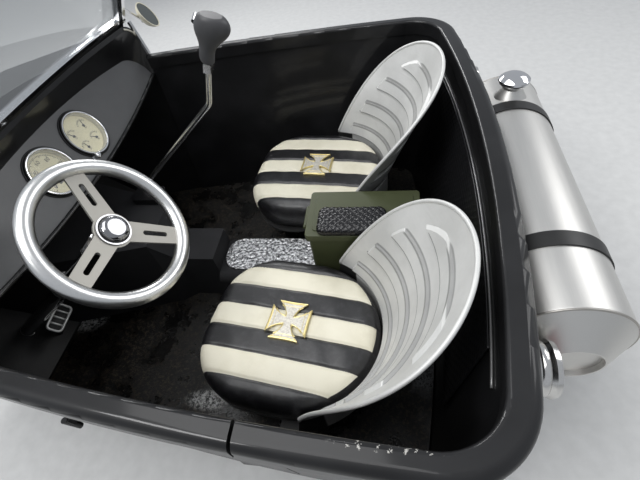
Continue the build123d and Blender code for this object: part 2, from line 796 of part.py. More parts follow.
def column_drop():
    """The plate that hangs from the dash and clamps the column."""
    at = 305.0
    centre = Vector(*on_column(at))
    clamp = cylinder(on_column(at - 16), on_column(at + 16), COLUMN_R + 9)
    top_z = DASH_Z + DASH_BOTTOM * cos(radians(DASH_LEAN)) + 14
    top_x = DASH_X + DASH_BOTTOM * sin(radians(DASH_LEAN)) + 12
    outline = Polygon((top_x - 2, top_z), (top_x + 60, top_z), (centre.X + 34, centre.Z + 6),
                      (centre.X - 26, centre.Z + 10), align=None)
    web = Pos(0, WHEEL_Y, 0) * extrude(Plane.XZ * outline, 4, both=True)
    flange = box(top_x + 2, top_x + 60, WHEEL_Y - 40, WHEEL_Y + 40, top_z, top_z + 6)
    body = clamp + web + flange
    body -= cylinder(on_column(at - 160), on_column(at + 160), COLUMN_R)
    return body - dash_panel() - dash_bead()


def lever_points(count=4):
    return [(x, LEVER_Y, z) for x, z in LEVER_PATH[:count]]


def gear_lever():
    path = FilletPolyline(*lever_points(), radius=(26.0, 40.0))
    start = Plane(origin=path @ 0, z_dir=path % 0)
    rod = sweep(start * Circle(LEVER_R), path=path)
    return rod + clevis()


def lever_top():
    x0, z0 = LEVER_PATH[-2]
    x1, z1 = LEVER_PATH[-1]
    return Plane(origin=(x1, LEVER_Y, z1), x_dir=(0, 1, 0), z_dir=(x1 - x0, 0, z1 - z0))


def clevis():
    cheek = Pos(0, 0, -8) * Box(22, 16, 20, align=(Align.CENTER, Align.CENTER, Align.MIN))
    cheek -= Pos(0, 0, 4) * Box(12, 20, 20, align=(Align.CENTER, Align.CENTER, Align.MIN))
    return lever_top() * cheek


def gear_grip():
    """The shaped grip: a slim neck that swells to a rounded, forward-leaning head."""
    sections = ((0, 13, 11, 0), (30, 17, 15, 0), (52, 28, 19, 6), (72, 36, 22, 10), (90, 30, 20, 10),
                (GRIP_H, 22, 15, 8))
    grip = loft([(Pos(0, s, z) * Ellipse(w, d)).face() for z, d, w, s in sections])
    return lever_top() * Pos(0, 0, 13) * grip - grip_button()


def grip_button():
    return lever_top() * Pos(-16, -26, 13 + 74) * Rot(0, -60, 0) * Cylinder(8, 16)


def lever_base():
    """The lever's housing on the hump, with a slot that the lever passes."""
    x, z = LEVER_PATH[0]
    block = box(x - 55, x + 35, LEVER_Y - 30, LEVER_Y + 30, HUMP_TOP - 12, z)
    block = fillet(block.edges().filter_by(Axis.Z), 12)
    return block - hump_block(0) - gear_lever()


def pedal_arm(radius):
    """The arm from behind the pad down through the toe board."""
    top = (PEDAL_X + 2, PEDAL_Y, PEDAL_Z - 4)
    return cylinder(top, (top[0] + PEDAL_ARM_RUN, PEDAL_Y, top[2] - PEDAL_ARM_DROP), radius)


def brake_pedal():
    """A pad with four slots on an arm that comes up through the toe board."""
    face = RectangleRounded(PEDAL_W, PEDAL_H, 15)
    for k in range(4):
        face -= Pos((k - 1.5) * PEDAL_SLOT_STEP, 0) * SlotOverall(PEDAL_SLOT_L, PEDAL_SLOT_W,
                                                                  rotation=90)
    pad_plane = Plane(origin=(PEDAL_X, PEDAL_Y, PEDAL_Z), x_dir=(0.12, -1, 0), z_dir=(-0.75, 0, 0.66))
    pad = pad_plane * extrude(face, PEDAL_T)
    back = pad_plane * Pos(0, 0, -7) * extrude(RectangleRounded(PEDAL_W - 6, PEDAL_H - 6, 12), 7)
    return pad + back + pedal_arm(PEDAL_ARM_R)


def cushion_face(grow=0.0):
    face = Rectangle(CUSHION_L + 2 * grow, CUSHION_W + 2 * grow).face()
    rear = face.vertices().sort_by(Axis.X)[:2]
    sketch = fillet(rear, CUSHION_REAR_R + grow)
    front = sketch.vertices().sort_by(Axis.X)[-2:]
    return fillet(front, CUSHION_FRONT_R + grow)


SEATS = (
    # side of the car, turn of the shell, turn of the cushion
    ("left", 1, -7.5, -8.0),
    ("right", -1, 7.5, -5.0),
)


def cushion(side, turn):
    block = extrude(cushion_face(), CUSHION_H)
    block = fillet(block.edges().group_by(Axis.Z)[-1], 36)
    block = fillet(block.edges().group_by(Axis.Z)[0], 18)
    return Pos(SEAT_X, side * SEAT_Y, CUSHION_TOP - CUSHION_H) * Rot(0, 0, turn) * block


def shell_section(z, grow):
    """The seat back's round section at one height: it leans back and opens out upward."""
    rise = max(z - SHELL_FLARE_Z, 0)
    radius = SHELL_BASE_R + SHELL_FLARE * rise ** 2 + grow
    rear = SHELL_REAR - SHELL_LEAN * rise - grow
    return rear + radius, radius


def shell_block(grow, z0, z1):
    """The round volume inside the seat back: upright at the cushion, leaning above it."""
    x, r = shell_section(z0, grow)
    base = Pos(x, 0, z0) * Cylinder(r, SHELL_FLARE_Z - z0, align=(Align.CENTER, Align.CENTER, Align.MIN))
    faces = []
    for k in range(5):
        z = SHELL_FLARE_Z + (z1 - SHELL_FLARE_Z) * k / 4
        x, r = shell_section(z, grow)
        faces.append((Pos(x, 0, z) * Circle(r)).face())
    return base + loft(faces)


def shell_side(back, low):
    """Side view of what lies behind the seat back's rim, or behind a line short of it."""
    foot = (SIDE_FOOT_X - back, SIDE_FOOT_Z)
    top = (SIDE_TOP_X - back, SHELL_RIM)
    run = top[0] - foot[0]
    rise = top[1] - foot[1]
    chord = sqrt(run ** 2 + rise ** 2)
    middle = ((foot[0] + top[0]) / 2 + SIDE_BOW * rise / chord,
              (foot[1] + top[1]) / 2 - SIDE_BOW * run / chord)
    start = (SIDE_LOW_X - back, low)
    far = top[0] - 400
    outline = make_face([
        Line((far, low), start),
        Line(start, foot),
        ThreePointArc(foot, middle, top),
        Line(top, (far, SHELL_RIM)),
        Line((far, SHELL_RIM), (far, low)),
    ])
    return extrude(Plane.XZ * outline, 600, both=True)


def band_slabs(height):
    slabs = [Pos(0, 0, z) * Box(2400, 1200, height) for z in BAND_Z]
    return slabs[0] + slabs[1:]


def seat_shell(side, turn):
    """The seat back: one sheet with flat bands pressed inward, and the pan under the cushion."""
    low = CUSHION_TOP - CUSHION_H - PAN_T - SEAT_GAP
    high = SHELL_RIM + 20
    wall = shell_block(SHELL_T, low, high) - shell_block(0, low - 5, high + 5)
    wall &= shell_side(0, low - 10)
    band = shell_block(SHELL_T / 2, low, high) - shell_block(-BAND_DEPTH, low - 5, high + 5)
    band &= shell_side(BAND_SHORT, low - 10)
    band &= band_slabs(BAND_H)
    groove = shell_block(SHELL_T * 2, low, high) - shell_block(SHELL_T - BAND_DEPTH, low - 5, high + 5)
    groove &= shell_side(BAND_SHORT + SHELL_T, low - 10)
    groove &= band_slabs(BAND_H - 2 * SHELL_T)
    wall = wall + band - groove
    pan = Pos(0, 0, low) * extrude(cushion_face(-6), PAN_T)
    x, r = shell_section(SHELL_FLARE_Z, SHELL_T / 2)
    half_disc = Pos(x, 0, low) * extrude(Circle(r), PAN_T)
    pan += half_disc & box(-480, -20, -300, 300, low - 5, low + 20)
    shell = Pos(SEAT_X, side * SEAT_Y, 0) * Rot(0, 0, turn) * (wall + pan)
    reach = CAN_L / 2 + 2
    return shell - box(CAN_X - reach, CAN_X + reach, CAN_Y - CAN_W / 2 - 2, CAN_Y + CAN_W / 2 + 2,
                       TUNNEL_TOP, CAN_TOP + 2)


def seat_risers():
    """A welded stand of square tube under each seat."""
    parts = []
    low = FLOOR_TOP
    top = CUSHION_TOP - CUSHION_H - PAN_T - SEAT_GAP
    for name, side, turn, other in SEATS:
        stand = box(-130, 130, -120, 120, top - 25, top) - box(-105, 105, -95, 95, top - 30, top + 5)
        for x in (-130, 105):
            for y in (-120, 95):
                stand += box(x, x + 25, y, y + 25, low, top - 20)
        parts.append(Pos(SEAT_X, side * SEAT_Y, 0) * Rot(0, 0, turn) * stand)
    return Compound(children=parts)


def ornament_face():
    """A cross whose four arms flare outward, with hollowed ends and sides."""
    reach = ORNAMENT_SPAN / 2
    wide = reach * 0.72
    waist = reach * 0.2
    face = Circle(waist * 1.2)
    for angle in (0, 90, 180, 270):
        arm = make_face([
            Line((0, -waist), (0, waist)),
            ThreePointArc((0, waist), (reach * 0.6, waist * 1.7), (reach, wide)),
            ThreePointArc((reach, wide), (reach * 0.93, 0), (reach, -wide)),
            ThreePointArc((reach, -wide), (reach * 0.6, -waist * 1.7), (0, -waist)),
        ])
        face += Rot(0, 0, angle) * arm
    return face


def seat_ornaments():
    parts = []
    for name, side, shell_turn, turn in SEATS:
        cross = extrude(ornament_face(), ORNAMENT_T)
        parts.append(Pos(SEAT_X, side * SEAT_Y, CUSHION_TOP + SEAT_GAP) * Rot(0, 0, turn) * cross)
    return Compound(children=parts)


def can_body():
    outer = Pos(CAN_X, CAN_Y, TUNNEL_TOP) * extrude(RectangleRounded(CAN_L, CAN_W, 14), CAN_TOP - TUNNEL_TOP)
    inner = Pos(CAN_X, CAN_Y, TUNNEL_TOP + CAN_WALL) * extrude(
        RectangleRounded(CAN_L - 2 * CAN_WALL, CAN_W - 2 * CAN_WALL, 12), CAN_TOP - TUNNEL_TOP)
    return outer - inner


def can_lid():
    """The lid: a shallow cap with a raised panel, hinged at its rear end."""
    low = CAN_LID_TOP - CAN_LID_DEPTH
    outer = Pos(CAN_X, CAN_Y, low) * extrude(RectangleRounded(CAN_LID_L, CAN_LID_W, 10), CAN_LID_DEPTH - 3)
    outer = fillet(outer.edges().group_by(Axis.Z)[-1], 3)
    inner = Pos(CAN_X, CAN_Y, low - 1) * extrude(
        RectangleRounded(CAN_L + 3, CAN_W + 5, 12), CAN_TOP + 0.3 - low + 1)
    panel = Pos(CAN_X, CAN_Y, CAN_LID_TOP - 4) * extrude(
        RectangleRounded(CAN_LID_L - 34, CAN_LID_W - 34, 10), 4)
    panel = fillet(panel.edges().group_by(Axis.Z)[-1], 1.5)
    x = can_hinge_x()
    z = can_hinge_z()
    barrel = cylinder((x, CAN_Y - 30, z), (x, CAN_Y + 30, z), 5)
    barrel += box(x, x + 8, CAN_Y - 28, CAN_Y + 28, z - 3, z + 4)
    return outer - inner + panel + barrel


def can_hinge_x():
    return CAN_X - CAN_LID_L / 2 - 6


def can_hinge_z():
    return CAN_LID_TOP - CAN_LID_DEPTH + 4


def can_hinge():
    """The half of the lid's hinge that stays on the can."""
    x = can_hinge_x()
    z = can_hinge_z()
    parts = []
    for y in (CAN_Y - 46, CAN_Y + 31):
        eye = cylinder((x, y, z), (x, y + 15, z), 5)
        web = box(x - 4, CAN_X - CAN_L / 2, y, y + 15, z - 22, z - 5)
        web += box(x - 4, x + 4, y, y + 15, z - 6, z)
        parts.append(eye + web)
    return Compound(children=parts)


def can_latch():
    """The catch at the front end of the lid."""
    x = CAN_X + CAN_LID_L / 2
    z = CAN_LID_TOP
    plate = box(x + 0.2, x + 4, CAN_Y - 36, CAN_Y + 36, z - 70, z - 8)
    bar = cylinder((x + 7, CAN_Y - 36, z - 20), (x + 7, CAN_Y + 36, z - 20), 4)
    return fillet(plate.edges().filter_by(Axis.X), 8) + bar


def armrest_pad():
    pad = extrude(RectangleRounded(PAD_L, PAD_W, 16), PAD_H)
    pad = fillet(pad.edges().group_by(Axis.Z)[-1], 9)
    return Pos(CAN_X + 26, CAN_Y + 40, CAN_LID_TOP + SEAT_GAP) * pad


def tank_profile():
    """Half section of the tank: a cone and a sunk, slightly domed disc at each end."""
    end = TANK_HALF + TANK_CONE
    sunk = end - TANK_END_DISH
    rim = TANK_END_R - 3
    return make_face([
        Line((0, -sunk), (8, -sunk)),
        ThreePointArc((8, -sunk), (rim / 2, -sunk + 1), (rim, -sunk + 4)),
        Line((rim, -sunk + 4), (rim, -end)),
        Line((rim, -end), (TANK_END_R, -end)),
        Line((TANK_END_R, -end), (TANK_R, -TANK_HALF)),
        Line((TANK_R, -TANK_HALF), (TANK_R, TANK_HALF)),
        Line((TANK_R, TANK_HALF), (TANK_END_R, end)),
        Line((TANK_END_R, end), (rim, end)),
        Line((rim, end), (rim, sunk - 4)),
        ThreePointArc((rim, sunk - 4), (rim / 2, sunk - 1), (8, sunk)),
        Line((8, sunk), (0, sunk)),
        Line((0, sunk), (0, -sunk)),
    ])


def tank_shell():
    tank = revolve(tank_profile(), Axis.Y, 360)
    edges = [e for e in tank.edges() if e.geom_type == GeomType.CIRCLE and e.radius > TANK_R - 1]
    tank = fillet(edges, 6)
    neck = Cylinder(FILLER_R, TANK_R + FILLER_H, align=(Align.CENTER, Align.CENTER, Align.MIN))
    spread = (FLANGE_R - FILLER_R) / 18
    skirt = Pos(0, 0, TANK_R - 14) * Cone(FLANGE_R + 14 * spread, FILLER_R, 32,
                                          align=(Align.CENTER, Align.CENTER, Align.MIN))
    neck = Pos(0, FILLER_Y, 0) * (neck + skirt)
    bung = Pos(0, 250, -TANK_R - 12) * Cylinder(14, 30, align=(Align.CENTER, Align.CENTER, Align.MIN))
    tank = tank + neck + bung
    tank -= Pos(0, 250, -TANK_R - 13) * Cylinder(6.4, 22, align=(Align.CENTER, Align.CENTER, Align.MIN))
    return Pos(TANK_X, 0, TANK_Z) * tank


def filler_cap():
    """A domed cap, wider than the neck that it closes."""
    z = TANK_Z + TANK_R + FILLER_H
    profile = make_face([
        Line((0, SEAT_GAP), (FILLER_R + 4, SEAT_GAP)),
        ThreePointArc((FILLER_R + 4, SEAT_GAP), (CAP_R - 3, CAP_H * 0.2), (CAP_R, CAP_H * 0.42)),
        Line((CAP_R, CAP_H * 0.42), (CAP_R - 1, CAP_H * 0.55)),
        ThreePointArc((CAP_R - 1, CAP_H * 0.55), (CAP_R * 0.6, CAP_H * 0.87), (6, CAP_H)),
        Line((6, CAP_H), (0, CAP_H)),
        Line((0, CAP_H), (0, SEAT_GAP)),
    ])
    cap = revolve(Plane.XZ * profile, Axis.Z, 360)
    return Pos(TANK_X, FILLER_Y, z) * cap


def tank_straps():
    parts = []
    for y in (-STRAP_Y, STRAP_Y):
        ring = Cylinder(TANK_R + STRAP_T, STRAP_W) - Cylinder(TANK_R, STRAP_W + 2)
        parts.append(Pos(TANK_X, y, TANK_Z) * Rot(90, 0, 0) * ring)
    return Compound(children=parts)


def tank_brackets():
    """Two cradles that reach back from the sub-frame and hold the tank from below."""
    parts = []
    rear = SUB_REAR
    foot = TANK_X - 50
    for y in (-STRAP_Y, STRAP_Y):
        outline = Polygon((rear, 8), (rear, 52), (TANK_X + 62, 58), (TANK_X + 74, TANK_Z - 78),
                          (TANK_X - 74, TANK_Z - 78), (foot, 20), (foot + 30, 8), align=None)
        outline -= Pos(TANK_X, TANK_Z) * Circle(TANK_R + STRAP_T)
        outline -= Pos(TANK_X + 4, 150) * RectangleRounded(62, 150, 20)
        plate = Pos(0, y, 0) * extrude(Plane.XZ * outline, STRAP_W / 2, both=True)
        parts.append(plate)
    return Compound(children=parts)


def lamp_profile():
    """Half section of a tail lamp's case: soft turned rings and a flared rim."""
    side = LAMP_R - 4
    step = (LAMP_OUT - 24) / LAMP_RINGS
    edges = [Line((0, 0), (LAMP_R, 0)), Line((LAMP_R, 0), (LAMP_R, 6)), Line((LAMP_R, 6), (side, 10))]
    for k in range(LAMP_RINGS):
        z = 10 + k * step
        edges.append(ThreePointArc((side, z), (side + 2, z + step / 2), (side, z + step)))
    end = 10 + LAMP_RINGS * step
    rim = LAMP_R - 7
    edges += [
        Line((side, end), (LAMP_R, LAMP_OUT - 8)),
        Line((LAMP_R, LAMP_OUT - 8), (LAMP_R - 2, LAMP_OUT)),
        Line((LAMP_R - 2, LAMP_OUT), (rim, LAMP_OUT)),
        Line((rim, LAMP_OUT), (rim, LAMP_OUT - 6)),
        Line((rim, LAMP_OUT - 6), (0, LAMP_OUT - 6)),
        Line((0, LAMP_OUT - 6), (0, 0)),
    ]
    return make_face(edges)


def lamp_place(side):
    return Plane(origin=(REAR_X, side * LAMP_Y, LAMP_Z), x_dir=(0, 1, 0), z_dir=(-1, 0, 0))


def tail_lamps():
    parts = []
    for side in (-1, 1):
        case = revolve(Plane.XZ * lamp_profile(), Axis.Z, 360)
        case += Pos(0, 0, -40) * Cylinder(LAMP_R - 12, 44, align=(Align.CENTER, Align.CENTER, Align.MIN))
        case = lamp_place(side) * case
        case -= wall_block(WALL_OUT, SUBFRAME_H, RAIL_LOW)
        parts.append(case.solids().sort_by(SortBy.VOLUME)[-1])
    return Compound(children=parts)


def tail_lenses():
    parts = []
    for side in (-1, 1):
        lens = Pos(0, 0, LAMP_OUT - 6) * Cylinder(LAMP_R - 7 - SEAT_GAP, 7,
                                                  align=(Align.CENTER, Align.CENTER, Align.MIN))
        lens = fillet(lens.edges().group_by(Axis.Z)[-1], 3)
        parts.append(lamp_place(side) * lens)
    return Compound(children=parts)


def sub_frame():
    """Two long rails with cross members that reach out under the walls."""
    frame = box(SUB_REAR, SUB_FRONT, RAIL_Y - SUB_W / 2, RAIL_Y + SUB_W / 2, 0, SUBFRAME_H)
    frame += box(SUB_REAR, SUB_FRONT, -RAIL_Y - SUB_W / 2, -RAIL_Y + SUB_W / 2, 0, SUBFRAME_H)
    for x in (SUB_REAR, -60, SUB_FRONT - SUB_W):
        reach = half_width(x + SUB_W / 2, wall_offset(WALL_OUT, SUBFRAME_H, TUCK_SIDE)) - 6
        if x == SUB_REAR:
            reach = 400
        frame += box(x, x + SUB_W, -reach, reach, 0, SUBFRAME_H)
    for x in (-MOUNT_X, MOUNT_X):
        for y in (-RAIL_Y, RAIL_Y):
            frame -= Pos(x, y, 0) * Cylinder(MOUNT_HOLE_R, 200)
    return frame


def main():
    save("body_tub", body_tub())
    save("door_left", door())
    save("door_hinges", door_hinges())
    save("cowl", cowl())
    save("firewall", firewall())
    save("toe_board", toe_board())
    save("floor_pan", floor_pan())
    save("tunnel", tunnel())
    save("transmission_hump", hump())
    save("tunnel_cover", tunnel_cover())
    save("dash_panel", dash_panel())
    save("dash_bead", dash_bead())
    save("gauge_cans", gauge_cans())
    save("gauge_bezels", gauge_bezels())
    save("dash_knob", dash_knob())
    save("windshield_frame", windshield_frame())
    save("screen_seal", screen_seal())
    save("windshield_glass", windshield_glass())
    save("windshield_posts", windshield_posts())
    save("mirror_arm", mirror_arm())
    save("mirror_head", mirror_head())
    save("mirror_glass", mirror_glass())
    save("wheel_rim", wheel_rim())
    save("wheel_spokes", wheel_spokes())
    save("hub_cap", hub_cap())
    save("steering_shaft", steering_shaft())
    save("steering_column", steering_column())
    save("column_drop", column_drop())
    save("gear_lever", gear_lever())
    save("gear_grip", gear_grip())
    save("grip_button", grip_button())
    save("lever_base", lever_base())
    save("brake_pedal", brake_pedal())
    for name, side, shell_turn, cushion_turn in SEATS:
        save(f"seat_shell_{name}", seat_shell(side, shell_turn))
        save(f"cushion_{name}", cushion(side, cushion_turn))
    save("seat_risers", seat_risers())
    save("seat_ornaments", seat_ornaments())
    save("can_body", can_body())
    save("can_lid", can_lid())
    save("can_hinge", can_hinge())
    save("can_latch", can_latch())
    save("armrest_pad", armrest_pad())
    save("tank_shell", tank_shell())
    save("filler_cap", filler_cap())
    save("tank_straps", tank_straps())
    save("tank_brackets", tank_brackets())
    save("tail_lamps", tail_lamps())
    save("tail_lenses", tail_lenses())
    save("sub_frame", sub_frame())


if __name__ == "__main__":
    main()
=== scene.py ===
"""Looks of the roadster body: materials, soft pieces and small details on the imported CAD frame."""
import math

import bpy
import numpy as np
from mathutils import Matrix, Vector


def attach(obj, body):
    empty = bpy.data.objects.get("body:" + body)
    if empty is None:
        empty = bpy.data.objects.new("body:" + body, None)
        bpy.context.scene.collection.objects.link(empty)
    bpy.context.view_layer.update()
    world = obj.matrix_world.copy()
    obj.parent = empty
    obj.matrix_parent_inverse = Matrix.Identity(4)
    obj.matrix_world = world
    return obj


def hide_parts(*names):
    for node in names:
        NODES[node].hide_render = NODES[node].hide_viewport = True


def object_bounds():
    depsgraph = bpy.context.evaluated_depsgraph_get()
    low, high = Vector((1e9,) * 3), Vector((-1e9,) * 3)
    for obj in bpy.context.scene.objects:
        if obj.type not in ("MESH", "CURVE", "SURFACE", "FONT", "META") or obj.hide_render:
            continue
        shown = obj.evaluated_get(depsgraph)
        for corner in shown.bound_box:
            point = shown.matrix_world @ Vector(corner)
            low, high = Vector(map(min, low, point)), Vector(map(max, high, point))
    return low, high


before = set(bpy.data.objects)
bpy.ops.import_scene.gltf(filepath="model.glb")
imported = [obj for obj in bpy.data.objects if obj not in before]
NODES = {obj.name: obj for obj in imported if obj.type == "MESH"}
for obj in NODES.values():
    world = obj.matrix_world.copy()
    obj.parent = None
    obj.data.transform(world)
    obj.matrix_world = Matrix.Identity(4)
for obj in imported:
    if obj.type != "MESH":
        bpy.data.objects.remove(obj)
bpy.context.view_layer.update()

# Places and sizes in metres, as in the model's source
SIDE = {"left": 1, "right": -1}
SEAT_X, SEAT_Y = -0.140, 0.2707
CUSHION_LOW, CUSHION_TOP = 0.221, 0.317
CUSHION_L, CUSHION_W = 0.416, 0.376
CUSHION_REAR_R, CUSHION_FRONT_R = 0.185, 0.140
CUSHION_TURN = {"left": math.radians(-8.0), "right": math.radians(-5.0)}
CUSHION_EASE, CUSHION_REAR_SHADE_R = 0.004, 0.1714
STRIPES = (0.0275, 0.084, 0.140)
STRIPE_FOOT = 0.035
CROSS_REACH, CROSS_T, CROSS_BEVEL = 0.0475, 0.0055, 0.0012
CROSS_EDGE, CROSS_LINE = 0.0052, 0.012

SHELL_TURN = {"left": math.radians(-7.5), "right": math.radians(7.5)}
SHELL_AXIS_X, SHELL_BEND_Z, SHELL_LEAN = -0.213, 0.3, 0.423
SHELL_R, SHELL_FLARE, SHELL_MID = 0.200, 1.5, 0.00175
BAND_EDGES = [0.302 + 0.076 * k for k in range(4)]
BAND_W = 0.032
RIM_FOOT, RIM_TOP, RIM_BOW = (-0.078, 0.306), (-0.352, 0.620), 0.028
RIM_SWELL, RIM_BAR = 0.149, 0.0042
PAN_Z, PAN_FRONT, SHELL_FRONT_Z, BAND_STOP = 0.222, -0.120, 0.2975, 0.0355

PAD = {"x": -0.2715, "y": 0.037, "low": 0.3859, "l": 0.170, "w": 0.084, "h": 0.0258, "r": 0.016}
QUILT = 0.019

DASH, DASH_LEAN = (0.4145, 0.0, 0.5815), math.radians(27.95)
GAUGE_R, BEZEL_SPLIT, BEZEL_OUTER = 0.0555, 0.0573, 0.0622
SPEED_U, CLUSTER_U = -0.0482, 0.103
DIAL_W, MARK_T = -0.0056, 0.0004
MARK_R, NUMBER_R = 0.047, 0.034
SMALL_MARK_R, SMALL_PIVOT = 0.0155, 0.004
# The middle of each small dial and the angle of its hand
SMALL_DIALS = ((-0.024, 0.017, 120), (0.024, 0.017, 70), (-0.021, -0.022, 100), (0.021, -0.022, 135))

HUB, COLUMN_DIP = (0.1423, 0.2494, 0.6046), math.radians(39.13)
CAP_R, CAP_FOOT = 0.0268, 0.0068

PEDAL, PEDAL_SHIFT = (0.560, 0.228, 0.196), 0.008
PEDAL_OUT, PEDAL_ACROSS = (-0.75, 0.0, 0.66), (0.12, -1.0, 0.0)
PEDAL_L, PEDAL_H, PEDAL_BAR, PEDAL_OFF = 0.076, 0.038, 0.0036, 0.0015
PEDAL_ARM = (0.080, 0.0, -0.096)

REAR_CENTRE, REAR_R, REAR_TOP_Z, REAR_HIGH = 2.408, 2.948, 0.562, 0.502
REAR_OVER, REAR_DRAW = 0.008, 0.060
LEDGE_Z, LEDGE_HALF, LEDGE_BAR = 0.5105, 0.462, 0.0022
CARPET_Z, CARPET_HALF, CARPET_BAR, CARPET_ROW = (0.212, 0.506), 0.400, 0.018, 0.012

LIP_X, LIP_Z, LIP_HALF, LIP_BAR = 0.3888, 0.600, 0.4949, 0.0030
LIP_CORNER, LIP_STRAIGHT, LIP_LEAN = 0.0555, 0.0398, math.radians(10.4)

TANK_X, TANK_Z, TANK_R, TANK_HALF = -0.6538, 0.4279, 0.1047, 0.3422

# Chips on the rail, and floor patches partly worn and partly painted highlight, each with its middle and
# its two half sizes
RAIL_Z, CHIPS = 0.590, (-0.362, 0.5675, 0.07, 0.008)
WORN_AND_SHEEN = ((0.590, 0.165, 0.085, 0.055), (0.110, 0.385, 0.070, 0.032))

CAMERA_AT = (-0.36021, 0.67329, 1.09116)
CAMERA_YAW, CAMERA_PITCH, CAMERA_ROLL = 0.2692, 0.8612, -0.2034
CAMERA_LENS, SENSOR_W = 21.954, 36.0

# Each lamp's name, place, the point it faces, its size and its power
LAMPS = (
    ("overhead", (0.55, 0.2, 3.2), (0.1, 0, 0.3), (2.4, 1.8), 46),
    ("front", (1.5, 1.7, 3.0), (0, 0.2, 0.4), (1.4, 0.5), 38),
    ("right", (1.1, -2.6, 1.9), (-0.1, 0.2, 0.6), (1.8, 0.3), 30),
    ("rear", (-2.6, -1.2, 2.2), (-0.3, 0, 0.4), (1.6, 1.2), 22),
)


# Camera

def place_camera():
    """The photograph's camera: it looks down its yaw and pitch, then rolls about the line of sight."""
    level = math.cos(CAMERA_PITCH)
    forward = Vector((math.sin(CAMERA_YAW) * level, -math.cos(CAMERA_YAW) * level, -math.sin(CAMERA_PITCH)))
    right = forward.cross(Vector((0, 0, 1))).normalized()
    up = right.cross(forward)
    x = math.cos(CAMERA_ROLL) * right + math.sin(CAMERA_ROLL) * up
    y = math.cos(CAMERA_ROLL) * up - math.sin(CAMERA_ROLL) * right
    data = bpy.data.cameras.new("camera")
    data.sensor_width = SENSOR_W
    data.lens = CAMERA_LENS
    data.clip_start = 0.05
    camera = bpy.data.objects.new("camera", data)
    axes = Matrix((x, y, -forward)).transposed().to_4x4()
    camera.matrix_world = Matrix.Translation(CAMERA_AT) @ axes
    bpy.context.collection.objects.link(camera)
    bpy.context.scene.camera = camera


# Shader values

class Value:
    """A node's output. Arithmetic on it adds Math nodes, and node() adds any other kind."""

    def __init__(self, tree, socket):
        self.tree = tree
        self.socket = socket

    def node(self, kind, inputs=None, output=0, **settings):
        made = self.tree.nodes.new(kind)
        for name, setting in settings.items():
            setattr(made, name, setting)
        for name, value in (inputs or {}).items():
            feed(self.tree, value, made.inputs[name])
        return Value(self.tree, made.outputs[output])

    def math(self, operation, *values):
        return self.node("ShaderNodeMath", dict(enumerate(values)), operation=operation)

    def __add__(self, other):
        return self.math("ADD", self, other)

    def __sub__(self, other):
        return self.math("SUBTRACT", self, other)

    def __mul__(self, other):
        return self.math("MULTIPLY", self, other)

    def __truediv__(self, other):
        return self.math("DIVIDE", self, other)

    def __pow__(self, other):
        return self.math("POWER", self, other)

    def __radd__(self, other):
        return self.math("ADD", other, self)

    def __rsub__(self, other):
        return self.math("SUBTRACT", other, self)

    def __rmul__(self, other):
        return self.math("MULTIPLY", other, self)

    def __rtruediv__(self, other):
        return self.math("DIVIDE", other, self)

    def __rpow__(self, other):
        return self.math("POWER", other, self)

    def __abs__(self):
        return self.math("ABSOLUTE", self)

    def ramp(self, low, high, start=0.0, end=1.0):
        """Runs smoothly from start to end while this value goes from low to high."""
        return self.node("ShaderNodeMapRange", {"Value": self, "From Min": low, "From Max": high,
                                                "To Min": start, "To Max": end},
                         interpolation_type="SMOOTHSTEP")


def feed(tree, value, socket):
    """Links a value to a socket, or sets the socket's own number or colour."""
    if isinstance(value, Value):
        tree.links.new(value.socket, socket)
    else:
        socket.default_value = value


class Finish:
    """A material under construction: its shader, its Object coordinates and its textures."""

    def __init__(self, name, color=(0.5, 0.5, 0.5), rough=0.5, metal=0.0, **fixed):
        self.material = bpy.data.materials.new(name)
        self.material.use_nodes = True
        self.tree = self.material.node_tree
        self.shader = self.tree.nodes["Principled BSDF"]
        self.set("Base Color", (*color, 1.0))
        self.set("Roughness", rough)
        self.set("Metallic", metal)
        for key, value in fixed.items():
            self.set(key.replace("_", " "), value)
        coords = self.tree.nodes.new("ShaderNodeTexCoord")
        self.place = Value(self.tree, coords.outputs["Object"])
        split = self.place.node("ShaderNodeSeparateXYZ", {"Vector": self.place})
        outs = split.socket.node.outputs
        self.x, self.y, self.z = (Value(self.tree, out) for out in outs)

    def set(self, name, value):
        feed(self.tree, value, self.shader.inputs[name])

    def noise(self, scale, detail=3.0, rough=0.5, stretch=None):
        where = self.place
        if stretch:
            where = where.node("ShaderNodeMapping", {"Vector": where, "Scale": stretch})
        return where.node("ShaderNodeTexNoise", {"Vector": where, "Scale": scale, "Detail": detail,
                                                 "Roughness": rough})

    def cells(self, scale, feature="F1"):
        return self.place.node("ShaderNodeTexVoronoi", {"Vector": self.place, "Scale": scale},
                               feature=feature)

    def mix(self, share, first, second):
        """A colour between two others, each a triple or another mix."""
        made = self.tree.nodes.new("ShaderNodeMix")
        made.data_type = "RGBA"
        feed(self.tree, share, made.inputs[0])
        for value, slot in ((first, 6), (second, 7)):
            feed(self.tree, value if isinstance(value, Value) else (*value, 1.0), made.inputs[slot])
        return Value(self.tree, made.outputs[2])

    def bump(self, height, strength=0.3, distance=0.001):
        bumped = height.node("ShaderNodeBump", {"Height": height, "Strength": strength,
                                                "Distance": distance})
        self.set("Normal", bumped)


def dress(material, *names):
    """Gives CAD nodes one material each."""
    for name in names:
        mesh = NODES[name].data
        mesh.materials.clear()
        mesh.materials.append(material)


def away_from(f, spot):
    """How far a point lies from the middle of an oval, 1 on its edge, squared."""
    x, y, wide, deep = spot
    return ((f.x - x) / wide) ** 2 + ((f.y - y) / deep) ** 2


